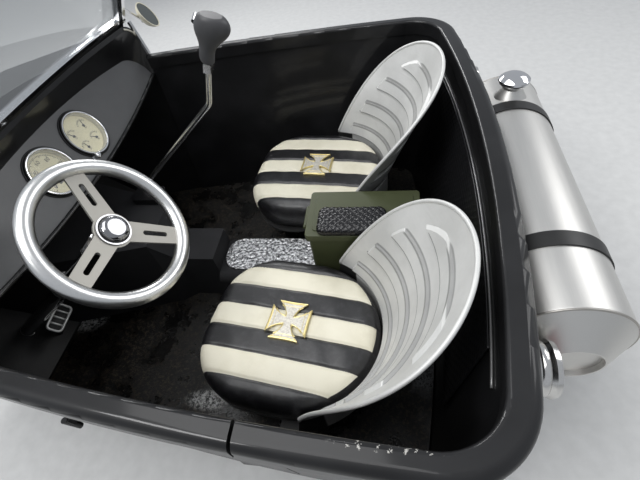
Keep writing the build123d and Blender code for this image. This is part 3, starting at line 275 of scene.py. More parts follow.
def satin_black():
    """Black paint with a thin clear sheen, bare in a few chips on the rail beside the driver's seat."""
    f = Finish("satin_black", rough=0.34, Specular_IOR_Level=0.22, Coat_Weight=0.4, Coat_Roughness=0.1)
    haze = f.noise(9.0, 4.0)
    dust = f.noise(160.0, 3.0, 0.6)
    near = away_from(f, CHIPS).ramp(0.5, 1.2, 1.0, 0.0) * f.z.ramp(RAIL_Z - 0.002, RAIL_Z + 0.002)
    chips = f.noise(130.0, 3.0, 0.7).ramp(0.585, 0.60) * near
    black = f.mix(haze.ramp(0.35, 0.75), (0.0065, 0.0065, 0.007), (0.013, 0.013, 0.014))
    f.set("Base Color", f.mix(chips, black, (0.42, 0.41, 0.38)))
    f.set("Roughness", 0.36 + 0.12 * haze + 0.05 * dust)
    f.bump(dust - chips, 0.06, 0.0005)
    return f.material


def floor_paint():
    """Black coating with an uneven gloss, fine brown dust and two pale mottled patches, partly worn to the
    metal and partly painted highlight.
    """
    f = Finish("floor_paint", rough=0.4, Specular_IOR_Level=0.4)
    lumps = f.cells(210.0)
    grain = f.noise(420.0, 2.0)
    dirt = f.noise(10.0, 5.0, 0.65)
    speck = f.noise(120.0, 4.0, 0.75)
    dust = speck.ramp(0.47, 0.66) * dirt.ramp(0.34, 0.58)
    black = f.mix(dust, (0.0035, 0.0035, 0.0035), (0.046, 0.035, 0.023))
    # Painted highlight, partly wear: two pale mottled patches where the floor shines
    worn = 0.0
    for spot in WORN_AND_SHEEN:
        worn = worn + away_from(f, spot).ramp(0.0, 1.0, 1.0, 0.0)
    bare = worn * speck.ramp(0.40, 0.60)
    f.set("Base Color", f.mix(bare, black, (0.44, 0.44, 0.43)))
    f.set("Roughness", 0.18 + 0.42 * dirt.ramp(0.38, 0.6))
    f.bump(lumps.ramp(0.05, 0.5) * 0.7 + 0.4 * grain + 0.6 * speck, 0.5, 0.0014)
    return f.material


def toe_paint():
    """The same black on the toe board, cleaner and darker."""
    f = Finish("toe_paint", rough=0.4, Specular_IOR_Level=0.25)
    cloud = f.noise(16.0, 5.0, 0.6)
    f.set("Base Color", f.mix(cloud.ramp(0.4, 0.7), (0.004, 0.004, 0.004), (0.012, 0.011, 0.010)))
    f.set("Roughness", 0.35 + 0.2 * cloud)
    f.bump(f.noise(200.0, 3.0), 0.2, 0.001)
    return f.material


def tunnel_felt():
    """Dark grey felt over the tunnel and the gearbox cover."""
    f = Finish("tunnel_felt", rough=0.8, Specular_IOR_Level=0.2)
    nap = f.noise(500.0, 3.0, 0.7)
    worn = f.noise(18.0, 4.0)
    f.set("Base Color", f.mix(nap * 0.6 + worn * 0.4, (0.010, 0.010, 0.011), (0.036, 0.036, 0.038)))
    f.bump(nap, 0.4, 0.001)
    return f.material


def shades(color, darker, lighter):
    """A darker and a lighter colour made from one."""
    return tuple(c * darker for c in color), tuple(min(c * lighter, 1) for c in color)


def brushed(name, color, rough, along, fine=900.0):
    """Bare metal with fine lines: noise drawn out along one axis, in the colour, the gloss and the bump."""
    f = Finish(name, color, rough, 1.0)
    stretch = [1.0, 1.0, 1.0]
    stretch[along] = 0.02
    lines = f.noise(fine, 4.0, 0.7, tuple(stretch))
    cloud = f.noise(6.0, 3.0)
    dark, light = shades(color, 0.9, 1.06)
    f.set("Base Color", f.mix(lines, dark, light))
    f.set("Roughness", rough * 0.8 + rough * 0.35 * lines + 0.06 * cloud)
    f.bump(lines, 0.06, 0.0003)
    return f.material


def seat_frame(f, side, turn):
    """How far a point lies forward along a turned seat and how far across it."""
    x, y = f.x - SEAT_X, f.y - SIDE[side] * SEAT_Y
    along = x * math.cos(turn) + y * math.sin(turn)
    across = y * math.cos(turn) - x * math.sin(turn)
    return along, across


def shell_sheet(side):
    """Light satin metal, with painted shade along both edges of each pressed band and painted black shade
    where the cushion hides it.

    The bands stop short of the side cut, which bows by rise (1 - rise) between its foot and its top.
    """
    f = Finish(f"shell_sheet_{side}", rough=0.35)
    along, _ = seat_frame(f, side, SHELL_TURN[side])
    haze = f.noise(7.0, 5.0, 0.6)
    swirl = f.noise(45.0, 5.0, 0.65)
    lines = f.noise(150.0, 3.0, 0.7, (0.05, 0.05, 1.0))
    # Painted shade: the sheet goes near black in the pan and at its low front end, behind the cushion
    pan = f.z.ramp(PAN_Z - 0.0002, PAN_Z + 0.0002, 1.0, 0.0)
    low = f.z.ramp(SHELL_FRONT_Z - 0.0015, SHELL_FRONT_Z + 0.0015, 1.0, 0.0)
    front = along.ramp(PAN_FRONT - 0.002, PAN_FRONT + 0.002) * low
    under = pan.math("MAXIMUM", pan, front)
    rise = (f.z - RIM_FOOT[1]) / (RIM_TOP[1] - RIM_FOOT[1])
    edge = RIM_FOOT[0] + rise * (RIM_TOP[0] - RIM_FOOT[0]) + RIM_SWELL * rise * (1.0 - rise)
    inside = (edge - along).ramp(BAND_STOP - 0.0015, BAND_STOP + 0.0015)
    # Painted shade: thin dark lines along both edges of each pressed band, for the shade in the creases and
    # to dull the highlights on the steps
    crease = 0.0
    for z in BAND_EDGES:
        crease = crease + abs(f.z - z).ramp(0.0006, 0.0022, 0.75, 0.0)
        crease = crease + abs(f.z - z - BAND_W).ramp(0.003, 0.006, 0.55, 0.0)
    sheet = f.mix(haze.ramp(0.3, 0.7), (0.64, 0.64, 0.62), (0.77, 0.77, 0.75))
    sheet = f.mix(crease * inside, sheet, (0.06, 0.06, 0.06))
    f.set("Base Color", f.mix(under, sheet, (0.008, 0.008, 0.008)))
    f.set("Metallic", 0.3 * (1.0 - under))
    f.set("Roughness", 0.42 + 0.14 * swirl + 0.06 * haze + 0.15 * under)
    f.bump(lines + 0.2 * swirl, 0.35, 0.0012)
    return f.material


def hammered():
    """Bright metal with small hammered facets; the dark and light grain in its colour is painted shade in
    the hollows and painted glints.
    """
    f = Finish("cover_metal", (0.55, 0.55, 0.55), 0.3, 0.9)
    facets = f.cells(95.0)
    grain = f.noise(120.0, 3.0, 0.7)
    # Painted glints and shade: the colour swings from near black to near white across the grain
    f.set("Base Color", f.mix(grain.ramp(0.38, 0.60), (0.14, 0.14, 0.145), (0.86, 0.86, 0.87)))
    f.set("Roughness", 0.22 + 0.3 * grain)
    f.bump(facets.ramp(0.0, 0.55) + grain * 1.2, 0.7, 0.003)
    return f.material


def bezel_chrome():
    """Chrome on the inner part of each gauge ring and black on the outer part."""
    f = Finish("bezel_chrome", rough=0.1)
    v = (f.x - DASH[0]) * math.sin(DASH_LEAN) + (f.z - DASH[2]) * math.cos(DASH_LEAN)
    first, second = (((f.y + u) ** 2 + v ** 2) ** 0.5 for u in (SPEED_U, CLUSTER_U))
    near = first.math("MINIMUM", first, second)
    black = near.ramp(BEZEL_SPLIT - 0.0002, BEZEL_SPLIT + 0.0002)
    f.set("Base Color", f.mix(black, (0.80, 0.80, 0.80), (0.008, 0.008, 0.008)))
    f.set("Metallic", 1.0 - black)
    f.set("Roughness", 0.08 + 0.25 * black)
    return f.material


def chrome(name="chrome", color=(0.72, 0.72, 0.73), rough=0.07):
    """Bright plating with faint smears in its gloss."""
    f = Finish(name, color, rough, 1.0)
    smear = f.noise(22.0, 4.0)
    f.set("Roughness", rough + 0.07 * smear.ramp(0.45, 0.8))
    return f.material


def leather(name, color, crease=0.25):
    """Leather still under construction: grain from cell edges over slow folds."""
    f = Finish(name, color, 0.42, Specular_IOR_Level=0.45, Coat_Roughness=0.3)
    grain = f.cells(420.0, "DISTANCE_TO_EDGE")
    folds = f.noise(34.0, 5.0, 0.6)
    f.set("Roughness", 0.36 + 0.18 * folds)
    f.bump(grain.ramp(0.0, 0.2) * 0.5 + folds * 1.6, crease, 0.0012)
    return f


def plain(name, color, rough, metal=0.0, **fixed):
    """Paint, rubber or dull metal: a slow cloud in its colour and gloss and a fine grain."""
    f = Finish(name, color, rough, metal, **fixed)
    cloud = f.noise(30.0, 4.0)
    fine = f.noise(300.0, 2.0)
    dark, light = shades(color, 0.86, 1.1)
    f.set("Base Color", f.mix(cloud, dark, light))
    f.set("Roughness", rough * 0.85 + rough * 0.3 * cloud)
    f.bump(fine, 0.05, 0.0004)
    return f.material


def dress_frame():
    """Every CAD node that shows gets its material."""
    dress(satin_black(), "body_tub", "door_left", "cowl", "firewall", "seat_risers", "tank_brackets",
          "sub_frame", "lever_base")
    dress(floor_paint(), "floor_pan")
    dress(toe_paint(), "toe_board")
    dress(tunnel_felt(), "tunnel", "transmission_hump")
    dress(plain("dash_grey", (0.098, 0.099, 0.101), 0.33), "dash_panel", "column_drop")
    dress(chrome(), "windshield_frame", "windshield_posts", "mirror_arm", "dash_knob", "grip_button",
          "filler_cap", "steering_column", "steering_shaft")
    dress(chrome("cap_chrome", (0.34, 0.34, 0.35), 0.14), "hub_cap")
    dress(bezel_chrome(), "gauge_bezels")
    dress(chrome("lever_chrome", (0.88, 0.88, 0.88), 0.2), "gear_lever")
    dress(plain("hinge_black", (0.012, 0.012, 0.012), 0.4, 0.3), "door_hinges")
    dress(brushed("polished_rim", (0.76, 0.76, 0.75), 0.27, 2, 300.0), "wheel_rim")
    dress(plain("satin_spokes", (0.37, 0.355, 0.32), 0.4, 0.45), "wheel_spokes")
    for side in SIDE:
        dress(shell_sheet(side), f"seat_shell_{side}")
    dress(brushed("tank_metal", (0.67, 0.66, 0.635), 0.42, 1, 700.0), "tank_shell")
    dress(plain("strap_black", (0.012, 0.012, 0.012), 0.45), "tank_straps")
    dress(plain("olive", (0.056, 0.065, 0.028), 0.45), "can_body", "can_lid", "can_hinge", "can_latch")
    dress(hammered(), "tunnel_cover")
    dress(plain("black_rubber", (0.010, 0.010, 0.010), 0.5), "screen_seal")
    dress(plain("black_bead", (0.008, 0.008, 0.008), 0.2), "dash_bead")
    dress(plain("grip_grey", (0.06, 0.06, 0.063), 0.42), "gear_grip")
    dress(plain("cream", (0.70, 0.66, 0.52), 0.35), "gauge_cans", "mirror_head")
    dress(brushed("lamp_metal", (0.70, 0.69, 0.67), 0.16, 2, 200.0), "tail_lamps")
    dress(plain("lens_red", (0.35, 0.005, 0.005), 0.12, Transmission_Weight=0.3), "tail_lenses")
    dress(chrome("mirror_face", (0.17, 0.185, 0.175), 0.05), "mirror_glass")
    glass = Finish("clear_glass", (0.93, 0.97, 0.97), 0.02, Transmission_Weight=1.0, IOR=1.08,
                   Alpha=0.35)
    dress(glass.material, "windshield_glass")


# Mesh building

def make_piece(name, verts, faces, material, body, slot, smooth=True):
    """An object at the origin made of points and faces, riding on a body and holding its material; slot is
    not used.
    """
    mesh = bpy.data.meshes.new(name)
    mesh.from_pydata(np.asarray(verts).tolist(), [], faces)
    mesh.materials.append(material)
    mesh.polygons.foreach_set("use_smooth", [smooth] * len(mesh.polygons))
    mesh.update()
    piece = bpy.data.objects.new(name, mesh)
    bpy.context.collection.objects.link(piece)
    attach(piece, body)
    return piece


def ring_faces(rings, around, closed=False):
    """Quads from each ring of points to the next: k and k + 1 of one, then k + 1 and k of the other."""
    i = np.arange(rings if closed else rings - 1)[:, None] * around
    j = (i + around) % (rings * around)
    k = np.arange(around)
    m = (k + 1) % around
    return np.stack([i + k, i + m, j + m, j + k], -1).reshape(-1, 4).tolist()


def capped_faces(rings, around):
    """The same quads with one face over the first ring and one over the last."""
    first = list(range(around))
    last = [k + (rings - 1) * around for k in first]
    return ring_faces(rings, around) + [first[::-1], last]


def circle(radius, count):
    """Points evenly spaced round a circle, as two arrays: r cos a and r sin a."""
    a = np.linspace(0, 2 * math.pi, count, endpoint=False)
    return radius * np.cos(a), radius * np.sin(a)


def tube(path, radius, closed=False, around=10):
    """A round bar: every point of the path plus r (cos a side + sin a up), for a all round.

    Side is the direction in which the path runs least, made square to it at each point, and up is square
    to both.
    """
    path = np.asarray(path, float)
    ahead = np.roll(path, -1, 0) - np.roll(path, 1, 0) if closed else np.gradient(path, axis=0)
    ahead /= np.linalg.norm(ahead, axis=1)[:, None]
    least = np.linalg.svd(ahead, full_matrices=False)[2][-1]
    side = least - ahead * (ahead @ least)[:, None]
    side /= np.linalg.norm(side, axis=1)[:, None]
    up = np.cross(ahead, side)
    along_side, along_up = circle(radius, around)
    verts = path[:, None] + along_side[:, None] * side[:, None] + along_up[:, None] * up[:, None]
    faces = ring_faces(len(path), around, True) if closed else capped_faces(len(path), around)
    return verts.reshape(-1, 3), faces


def joined(parts):
    """Several pairs of points and faces as one, each part's faces counted on from the parts before."""
    verts, faces, start = [], [], 0
    for some, their in parts:
        verts.append(np.asarray(some, float))
        faces += [[i + start for i in face] for face in their]
        start += len(some)
    return np.concatenate(verts), faces


def block(centre, ways, size):
    """A block: its centre plus and minus half its size along each of its own three directions."""
    signs = np.stack(np.meshgrid(*[(-0.5, 0.5)] * 3, indexing="ij"), -1).reshape(-1, 3)
    verts = centre + (signs * size) @ np.array(ways)
    return verts, [(0, 1, 3, 2), (4, 6, 7, 5), (0, 4, 5, 1), (2, 3, 7, 6), (0, 2, 6, 4), (1, 5, 7, 3)]


def plane_ways(out, across):
    """The three unit directions of a leaning plane: across it, up it and out of it."""
    out = np.array(out) / np.linalg.norm(out)
    across = np.array(across) - out * out.dot(across)
    across /= np.linalg.norm(across)
    return across, np.cross(out, across), out


def in_plane(origin, ways, u, v, w):
    """Points of a leaning plane: its origin plus u across it, v up it and w out of it."""
    return np.array(origin) + sum(np.multiply.outer(far, way) for far, way in zip((u, v, w), ways))


def turned(points, angle, x, y, z=0.0):
    """Points turned about the vertical, x cos a - y sin a and x sin a + y cos a, then moved."""
    c, s = math.cos(angle), math.sin(angle)
    out = np.array(points, float)
    out[:, 0] = c * points[:, 0] - s * points[:, 1] + x
    out[:, 1] = s * points[:, 0] + c * points[:, 1] + y
    out[:, 2] = points[:, 2] + z
    return out


# Soft pieces

def round_plan(length, width, rear_r, front_r, count):
    """Points spaced evenly round a rectangle with quarter circles as corners, centre + r (cos a, sin a)."""
    a = np.radians(90.0 * np.arange(4)[:, None] + np.linspace(0, 90, 41))
    r = np.array((front_r, rear_r, rear_r, front_r))[:, None]
    x = np.array((1, -1, -1, 1))[:, None] * (length / 2 - r) + r * np.cos(a)
    y = np.array((1, 1, -1, -1))[:, None] * (width / 2 - r) + r * np.sin(a)
    points = np.column_stack([x.ravel(), y.ravel()])
    points = np.concatenate([points, points[:1]])
    gone = np.concatenate([[0], np.cumsum(np.linalg.norm(np.diff(points, axis=0), axis=1))])
    at = np.linspace(0, gone[-1], count, endpoint=False)
    return np.column_stack([np.interp(at, gone, points[:, k]) for k in (0, 1)])


def padded_form(plan, profile):
    """A closed form: for each share and height of a profile, the plan times that share at that height."""
    profile = np.asarray(profile, float)
    count = len(plan)
    rings = np.empty((len(profile), count, 3))
    rings[:, :, :2] = profile[:, 0, None, None] * plan
    rings[:, :, 2] = profile[:, 1, None]
    ends = np.array([(0, 0, profile[0, 1]), (0, 0, profile[-1, 1])])
    verts = np.concatenate([rings.reshape(-1, 3), ends])
    bottom, top = len(verts) - 2, len(verts) - 1
    k = np.arange(count)
    m = (k + 1) % count
    last = bottom - count
    fans = np.stack([np.full(count, bottom), m, k, np.full(count, top), last + k, last + m], -1)
    return verts, ring_faces(len(profile), count) + fans.reshape(-1, 3).tolist()


def puff(piece, pinned, cap, pressure=4.0):
    """Inflates a closed cloth skin, held where it is sewn, and keeps the shape it takes."""
    count = len(piece.data.vertices)
    start = np.empty(count * 3)
    piece.data.vertices.foreach_get("co", start)
    start = start.reshape(-1, 3)
    group = piece.vertex_groups.new(name="sewn")
    group.add([int(i) for i in np.nonzero(pinned)[0]], 1.0, "REPLACE")
    cloth = piece.modifiers.new("cloth", "CLOTH")
    cloth.settings.use_pressure = True
    cloth.settings.uniform_pressure_force = pressure
    cloth.settings.effector_weights.gravity = 0.0
    cloth.settings.vertex_group_mass = "sewn"
    for number in range(1, 21):
        bpy.context.scene.frame_set(number)
    seen = piece.evaluated_get(bpy.context.evaluated_depsgraph_get()).to_mesh()
    swollen = np.empty(count * 3)
    seen.vertices.foreach_get("co", swollen)
    move = swollen.reshape(-1, 3) - start
    far = np.linalg.norm(move, axis=1)[:, None]
    move *= np.minimum(1.0, cap / np.maximum(far, 1e-9))
    piece.modifiers.clear()
    piece.vertex_groups.clear()
    piece.data.vertices.foreach_set("co", (start + move).ravel())
    piece.data.update()
    bpy.context.scene.frame_set(1)


def refine(piece):
    """One subdivision, applied."""
    finer = piece.modifiers.new("finer", "SUBSURF")
    finer.levels = 1
    finer.render_levels = 1
    mesh = bpy.data.meshes.new_from_object(piece.evaluated_get(bpy.context.evaluated_depsgraph_get()))
    piece.modifiers.clear()
    piece.data = mesh


def place_verts(piece, change):
    """Runs a function over the piece's vertices as one array."""
    count = len(piece.data.vertices)
    flat = np.empty(count * 3)
    piece.data.vertices.foreach_get("co", flat)
    piece.data.vertices.foreach_set("co", change(flat.reshape(-1, 3)).ravel())
    piece.data.update()


def cushion(side, material):
    """A round-cornered cushion with channels sewn fore and aft between its stripes.

    Its sides bulge a little, its crown falls with the cube of the share of the way out, and each seam is a
    groove exp(-(distance / width)^2) deep.
    """
    high = CUSHION_TOP - CUSHION_LOW
    plan = round_plan(CUSHION_L - 2 * CUSHION_EASE, CUSHION_W - 2 * CUSHION_EASE,
                      CUSHION_REAR_R - CUSHION_EASE, CUSHION_FRONT_R - CUSHION_EASE, 200)
    base = [(share, 0.0) for share in (0.12, 0.4, 0.7, 0.9)]
    wall = [(0.955, 0.003), (0.985, 0.012), (0.997, 0.028), (1.0, 0.044), (0.997, 0.056), (0.985, 0.066)]
    shoulder = [(0.965, 0.0745), (0.94, 0.081), (0.905, 0.0862), (0.865, 0.0895)]
    share = np.linspace(0.82, 0.03, 30)
    crown = np.column_stack([share, high - 0.0005 - 0.0075 * share ** 3])
    verts, faces = padded_form(plan, np.concatenate([base, wall, shoulder, crown]))
    piece = make_piece(f"cushion_{side}_padded", verts, faces, material, "body", "seat_leather")
    on_top = verts[:, 2] > 0.06
    sewn = np.min(np.abs(np.abs(verts[:, 1])[:, None] - np.array(STRIPES)), axis=1) < 0.004
    badge = (np.abs(verts[:, 0]) < 0.060) & (np.abs(verts[:, 1]) < 0.060)
    puff(piece, (sewn & on_top) | (badge & on_top) | (verts[:, 2] < 0.002), 0.006)
    refine(piece)

    def finish(points):
        near = np.min(np.abs(np.abs(points[:, 1])[:, None] - np.array(STRIPES)), axis=1)
        top = np.clip((points[:, 2] - 0.05) / 0.02, 0, 1)
        points[:, 2] -= 0.0042 * np.exp(-(near / 0.0032) ** 2) * top
        points[:, 2] += 0.0006 * np.sin(points[:, 0] * 95 + points[:, 1] * 40) * top
        badge_top = (np.abs(points[:, 0]) < 0.050) & (np.abs(points[:, 1]) < 0.050)
        limit = np.where(badge_top, high - 0.0001, high + 0.006)
        points[:, 2] = np.minimum(points[:, 2], limit)
        return turned(points, CUSHION_TURN[side], SEAT_X, SIDE[side] * SEAT_Y, CUSHION_LOW)

    place_verts(piece, finish)
    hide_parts(f"cushion_{side}")


def cushion_finish(side):
    """Black leather with three cream stripes that run over the front edge and stop short of the rear, where
    the black is partly the leather's side and partly painted shade; the black also carries painted sheen.
    """
    f = leather(f"seat_leather_{side}", (0.012, 0.012, 0.013), 0.4)
    along, across = seat_frame(f, side, CUSHION_TURN[side])
    across = abs(across)
    middle = across.ramp(STRIPES[0] - 0.0005, STRIPES[0] + 0.0005, 1.0, 0.0)
    outer = across.ramp(STRIPES[1] - 0.0005, STRIPES[1] + 0.0005)
    outer = outer * across.ramp(STRIPES[2] - 0.0005, STRIPES[2] + 0.0005, 1.0, 0.0)
    # Painted shade: the stripes stop short of the rear edge, leaving a black band that is partly the
    # leather's side and partly the shade in the gap against the shell
    from_bend = ((along + CUSHION_L / 2 - CUSHION_REAR_R) ** 2 + across ** 2) ** 0.5
    rear_shade = from_bend.ramp(CUSHION_REAR_SHADE_R - 0.0004, CUSHION_REAR_SHADE_R + 0.0004)
    rear_shade = rear_shade * along.ramp(-0.03, -0.02, 1.0, 0.0)
    foot = CUSHION_LOW + STRIPE_FOOT
    white = (middle + outer) * f.z.ramp(foot - 0.001, foot + 0.001) * (1.0 - rear_shade)
    soil = f.noise(11.0, 4.0, 0.6)
    cream = f.mix(soil.ramp(0.4, 0.75), (0.80, 0.76, 0.62), (0.70, 0.66, 0.52))
    # Painted sheen: paler patches in the black leather stand for its gloss highlights
    sheen_patches = f.noise(52.0, 5.0, 0.7)
    black = f.mix(sheen_patches.ramp(0.45, 0.75), (0.006, 0.006, 0.007), (0.030, 0.029, 0.032))
    f.set("Base Color", f.mix(white, black, cream))
    f.set("Roughness", 0.27 + 0.18 * white + 0.12 * soil)
    f.set("Coat Weight", 0.5 * (1.0 - white))
    return f.material


def armrest(material):
    """The pad on the armrest box: a rounded block stamped with diamonds, the root of |sin u sin v|.

    u and v run along the two diagonals.
    """
    plan = round_plan(PAD["l"], PAD["w"], PAD["r"], PAD["r"], 150)
    wall = [(0.2, 0.0), (0.6, 0.0), (0.9, 0.0), (0.965, 0.002), (0.99, 0.007), (0.985, 0.012),
            (0.965, 0.0165), (0.93, 0.0195)]
    share = np.linspace(0.86, 0.04, 16)
    crown = np.column_stack([share, 0.0222 - 0.0022 * share ** 4])
    verts, faces = padded_form(plan, np.concatenate([wall, crown]))
    piece = make_piece("armrest_padded", verts, faces, material, "lid", "pad_leather")
    puff(piece, verts[:, 2] < 0.003, 0.002, 2.0)
    refine(piece)

    def finish(points):
        top = np.clip((points[:, 2] - 0.012) / 0.006, 0, 1)
        u = math.pi * (points[:, 0] + points[:, 1]) / QUILT
        v = math.pi * (points[:, 0] - points[:, 1]) / QUILT
        stamped = np.sqrt(np.abs(np.sin(u) * np.sin(v)))
        points[:, 2] += 0.0016 * (stamped - 0.9) * top
        points[:, 2] = np.clip(points[:, 2], 0.0, PAD["h"])
        return points + (PAD["x"], PAD["y"], PAD["low"])

    place_verts(piece, finish)
    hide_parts("armrest_pad")


def pad_finish():
    """Black leather stamped with small diamonds."""
    f = leather("pad_leather", (0.010, 0.010, 0.011))
    u = (f.x - PAD["x"] + f.y - PAD["y"]) * (math.pi / QUILT)
    v = (f.x - PAD["x"] - f.y + PAD["y"]) * (math.pi / QUILT)
    quilt = abs(u.math("SINE", u)) * abs(v.math("SINE", v))
    folds = f.noise(60.0, 3.0)
    f.set("Roughness", 0.14 + 0.2 * folds)
    f.bump(quilt.ramp(0.0, 0.6) + 0.4 * folds, 0.4, 0.0016)
    return f.material


# Hard trim

def seat_rim(side, material):
    """The rolled edge of a seat back: a bar where the round shell meets its bowed side cut.

    At an angle a round the shell a point of that line has x = m(z) + r(z) cos a and y = r(z) sin a, where
    the shell's radius r grows with the square of the height. Its z, found by halving, is where that x lies
    on the cut's arc.
    """
    foot, top = np.array(RIM_FOOT), np.array(RIM_TOP)
    chord = np.linalg.norm(top - foot)
    way = (top - foot) / chord
    normal = np.array((way[1], -way[0]))
    radius = (chord ** 2 / 4 + RIM_BOW ** 2) / (2 * RIM_BOW)
    centre = (foot + top) / 2 - normal * (radius - RIM_BOW)

    def section(z):
        rise = np.maximum(z - SHELL_BEND_Z, 0.0)
        r = SHELL_R + SHELL_FLARE * rise ** 2 + SHELL_MID
        return SHELL_AXIS_X - SHELL_LEAN * rise - SHELL_MID + r, r

    middle, r = section(foot[1])
    angle = np.linspace(math.acos((foot[0] - middle) / r), math.pi, 70)
    low, high = np.full(70, foot[1]), np.full(70, top[1] + 0.01)
    for step in range(40):
        z = (low + high) / 2
        middle, r = section(z)
        ahead = centre[0] + np.sqrt(radius ** 2 - (z - centre[1]) ** 2) > middle + r * np.cos(angle)
        low, high = np.where(ahead, z, low), np.where(ahead, high, z)
    half = np.column_stack([middle + r * np.cos(angle), r * np.sin(angle), z])
    start = half[:1] + np.array([(0.0015, 0.0, -0.008)])
    path = np.concatenate([start, half, half[-2::-1] * (1, -1, 1), start * (1, -1, 1)])
    path = turned(path, SHELL_TURN[side], SEAT_X, SIDE[side] * SEAT_Y)
    verts, faces = tube(path, RIM_BAR, around=12)
    make_piece(f"seat_rim_{side}", verts, faces, material, "body", "seat_metal")


def arc(first, second, third, count):
    """Points on the circle through three points, centre + r (cos a, sin a), with a turning past the second.

    The centre is equally far from all three, which makes two linear equations.
    """
    first, second, third = np.array(first), np.array(second), np.array(third)
    even = [second @ second - first @ first, third @ third - first @ first]
    centre = np.linalg.solve(2 * np.array([second - first, third - first]), even)
    spokes = np.array([first, second, third]) - centre
    turn = np.unwrap(np.arctan2(spokes[:, 1], spokes[:, 0]))
    a = np.linspace(turn[0], turn[2], count)
    return centre + np.linalg.norm(spokes[0]) * np.column_stack([np.cos(a), np.sin(a)])


def cross_outline(reach):
    """The line round a cross: one flared arm, with hollowed sides and end, turned four times."""
    wide, waist = reach * 0.72, reach * 0.2
    lower = arc((reach, -wide), (reach * 0.6, -waist * 1.7), (0, -waist), 24)
    lower = lower[lower[:, 0] > np.abs(lower[:, 1]) + 0.0004]
    end = arc((reach, wide), (reach * 0.975, 0), (reach, -wide), 12)
    arm = np.concatenate([lower[::-1] * (1, -1), end[1:-1], lower])[::-1]
    quarter = np.array([(0, 1), (-1, 0)])
    return np.concatenate([arm @ np.linalg.matrix_power(quarter, k) for k in range(4)])


def plate(outline, low, high, bevel):
    """A flat plate with a bevelled upper edge: the outline at three heights, closed by two faces."""
    inward = outline * (1 - bevel / np.linalg.norm(outline, axis=1)[:, None])
    levels = ((outline, low), (outline, high - bevel), (inward, high))
    verts = np.concatenate([np.column_stack([ring, np.full(len(ring), z)]) for ring, z in levels])
    return verts, capped_faces(3, len(outline))


def crosses(gold, silver):
    """A cross on each cushion: a gold plate with a silver field, a bar round its edge and a raised line."""
    base = CUSHION_TOP + 0.0002
    top = base + CROSS_T
    plates, fields = [], []
    for side in SIDE:
        place = (CUSHION_TURN[side], SEAT_X, SIDE[side] * SEAT_Y)
        verts, faces = plate(cross_outline(CROSS_REACH), base, top, CROSS_BEVEL)
        plates.append((turned(verts, *place), faces))
        verts, faces = plate(cross_outline(CROSS_REACH - CROSS_EDGE), top - 0.001, top + 0.0007,
                             CROSS_BEVEL / 2)
        fields.append((turned(verts, *place), faces))
        for reach, r in ((CROSS_REACH - CROSS_BEVEL, 0.0011), (CROSS_REACH - CROSS_LINE, 0.0007)):
            line = cross_outline(reach)
            line = np.column_stack([line, np.full(len(line), top + 0.0004)])
            plates.append(tube(turned(line, *place), r, closed=True, around=8))
    rims = make_piece("seat_crosses", *joined(plates), gold, "body", "ornament", smooth=False)
    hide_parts("seat_ornaments")
    make_piece("cross_fields", *joined(fields), silver, "body", "ornament", smooth=False)


def silver_field():
    """Cast silver with dark grain in its hollows."""
    f = Finish("silver_field", rough=0.4, metal=0.3)
    grain = f.noise(240.0, 4.0, 0.7)
    f.set("Base Color", f.mix(grain.ramp(0.38, 0.6), (0.52, 0.49, 0.43), (0.72, 0.69, 0.61)))
    f.bump(grain, 0.3, 0.0008)
    return f.material


def on_pedal(u, v, w):
    """Points of the pedal's leaning plane: across the car, up the toe board and out of the pad."""
    return in_plane(PEDAL, plane_ways(PEDAL_OUT, PEDAL_ACROSS), u, v + PEDAL_SHIFT, w)


def pedal(metal, rubber):
    """The brake pedal: a ladder of round bars on a rubber back, and its arm down through the toe board."""
    ring = round_plan(PEDAL_L, PEDAL_H, 0.010, 0.010, 72)
    bars = [tube(on_pedal(ring[:, 0], ring[:, 1], PEDAL_OFF), PEDAL_BAR, closed=True)]
    rung = np.linspace(-0.5, 0.5, 4) * PEDAL_H
    for share in (-0.25, 0.0, 0.25):
        bars.append(tube(on_pedal(share * PEDAL_L, rung, PEDAL_OFF), PEDAL_BAR * 0.8))
    ladder = make_piece("pedal_ladder", *joined(bars), metal, "body", "polished")
    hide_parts("brake_pedal")
    back = round_plan(PEDAL_L + 0.007, PEDAL_H + 0.009, 0.012, 0.012, 72)
    verts, faces = padded_form(back, [(0.95, -0.008), (1.0, -0.006), (1.0, -0.002), (0.96, -0.0005)])
    verts = on_pedal(verts[:, 0], verts[:, 1], verts[:, 2])
    start = np.array(PEDAL) + (0.002, 0.0, -0.004)
    arm = tube(start + np.multiply.outer(np.linspace(0, 1, 6), PEDAL_ARM), 0.009, around=20)
    make_piece("pedal_back", *joined([(verts, faces), arm]), rubber, "body", "rubber")


def rear_wall(y, z, off):
    """Points on the inner face of the wall behind the seats, moved off it along the car.

    x = centre - sqrt((R + draw)^2 - y^2), where draw falls evenly from the top of the wall to its foot.
    """
    draw = REAR_OVER - REAR_DRAW * (REAR_TOP_Z - z) / REAR_HIGH
    x = REAR_CENTRE - np.sqrt((REAR_R + draw) ** 2 - y ** 2) + off
    return np.stack(np.broadcast_arrays(x, y, z), -1)


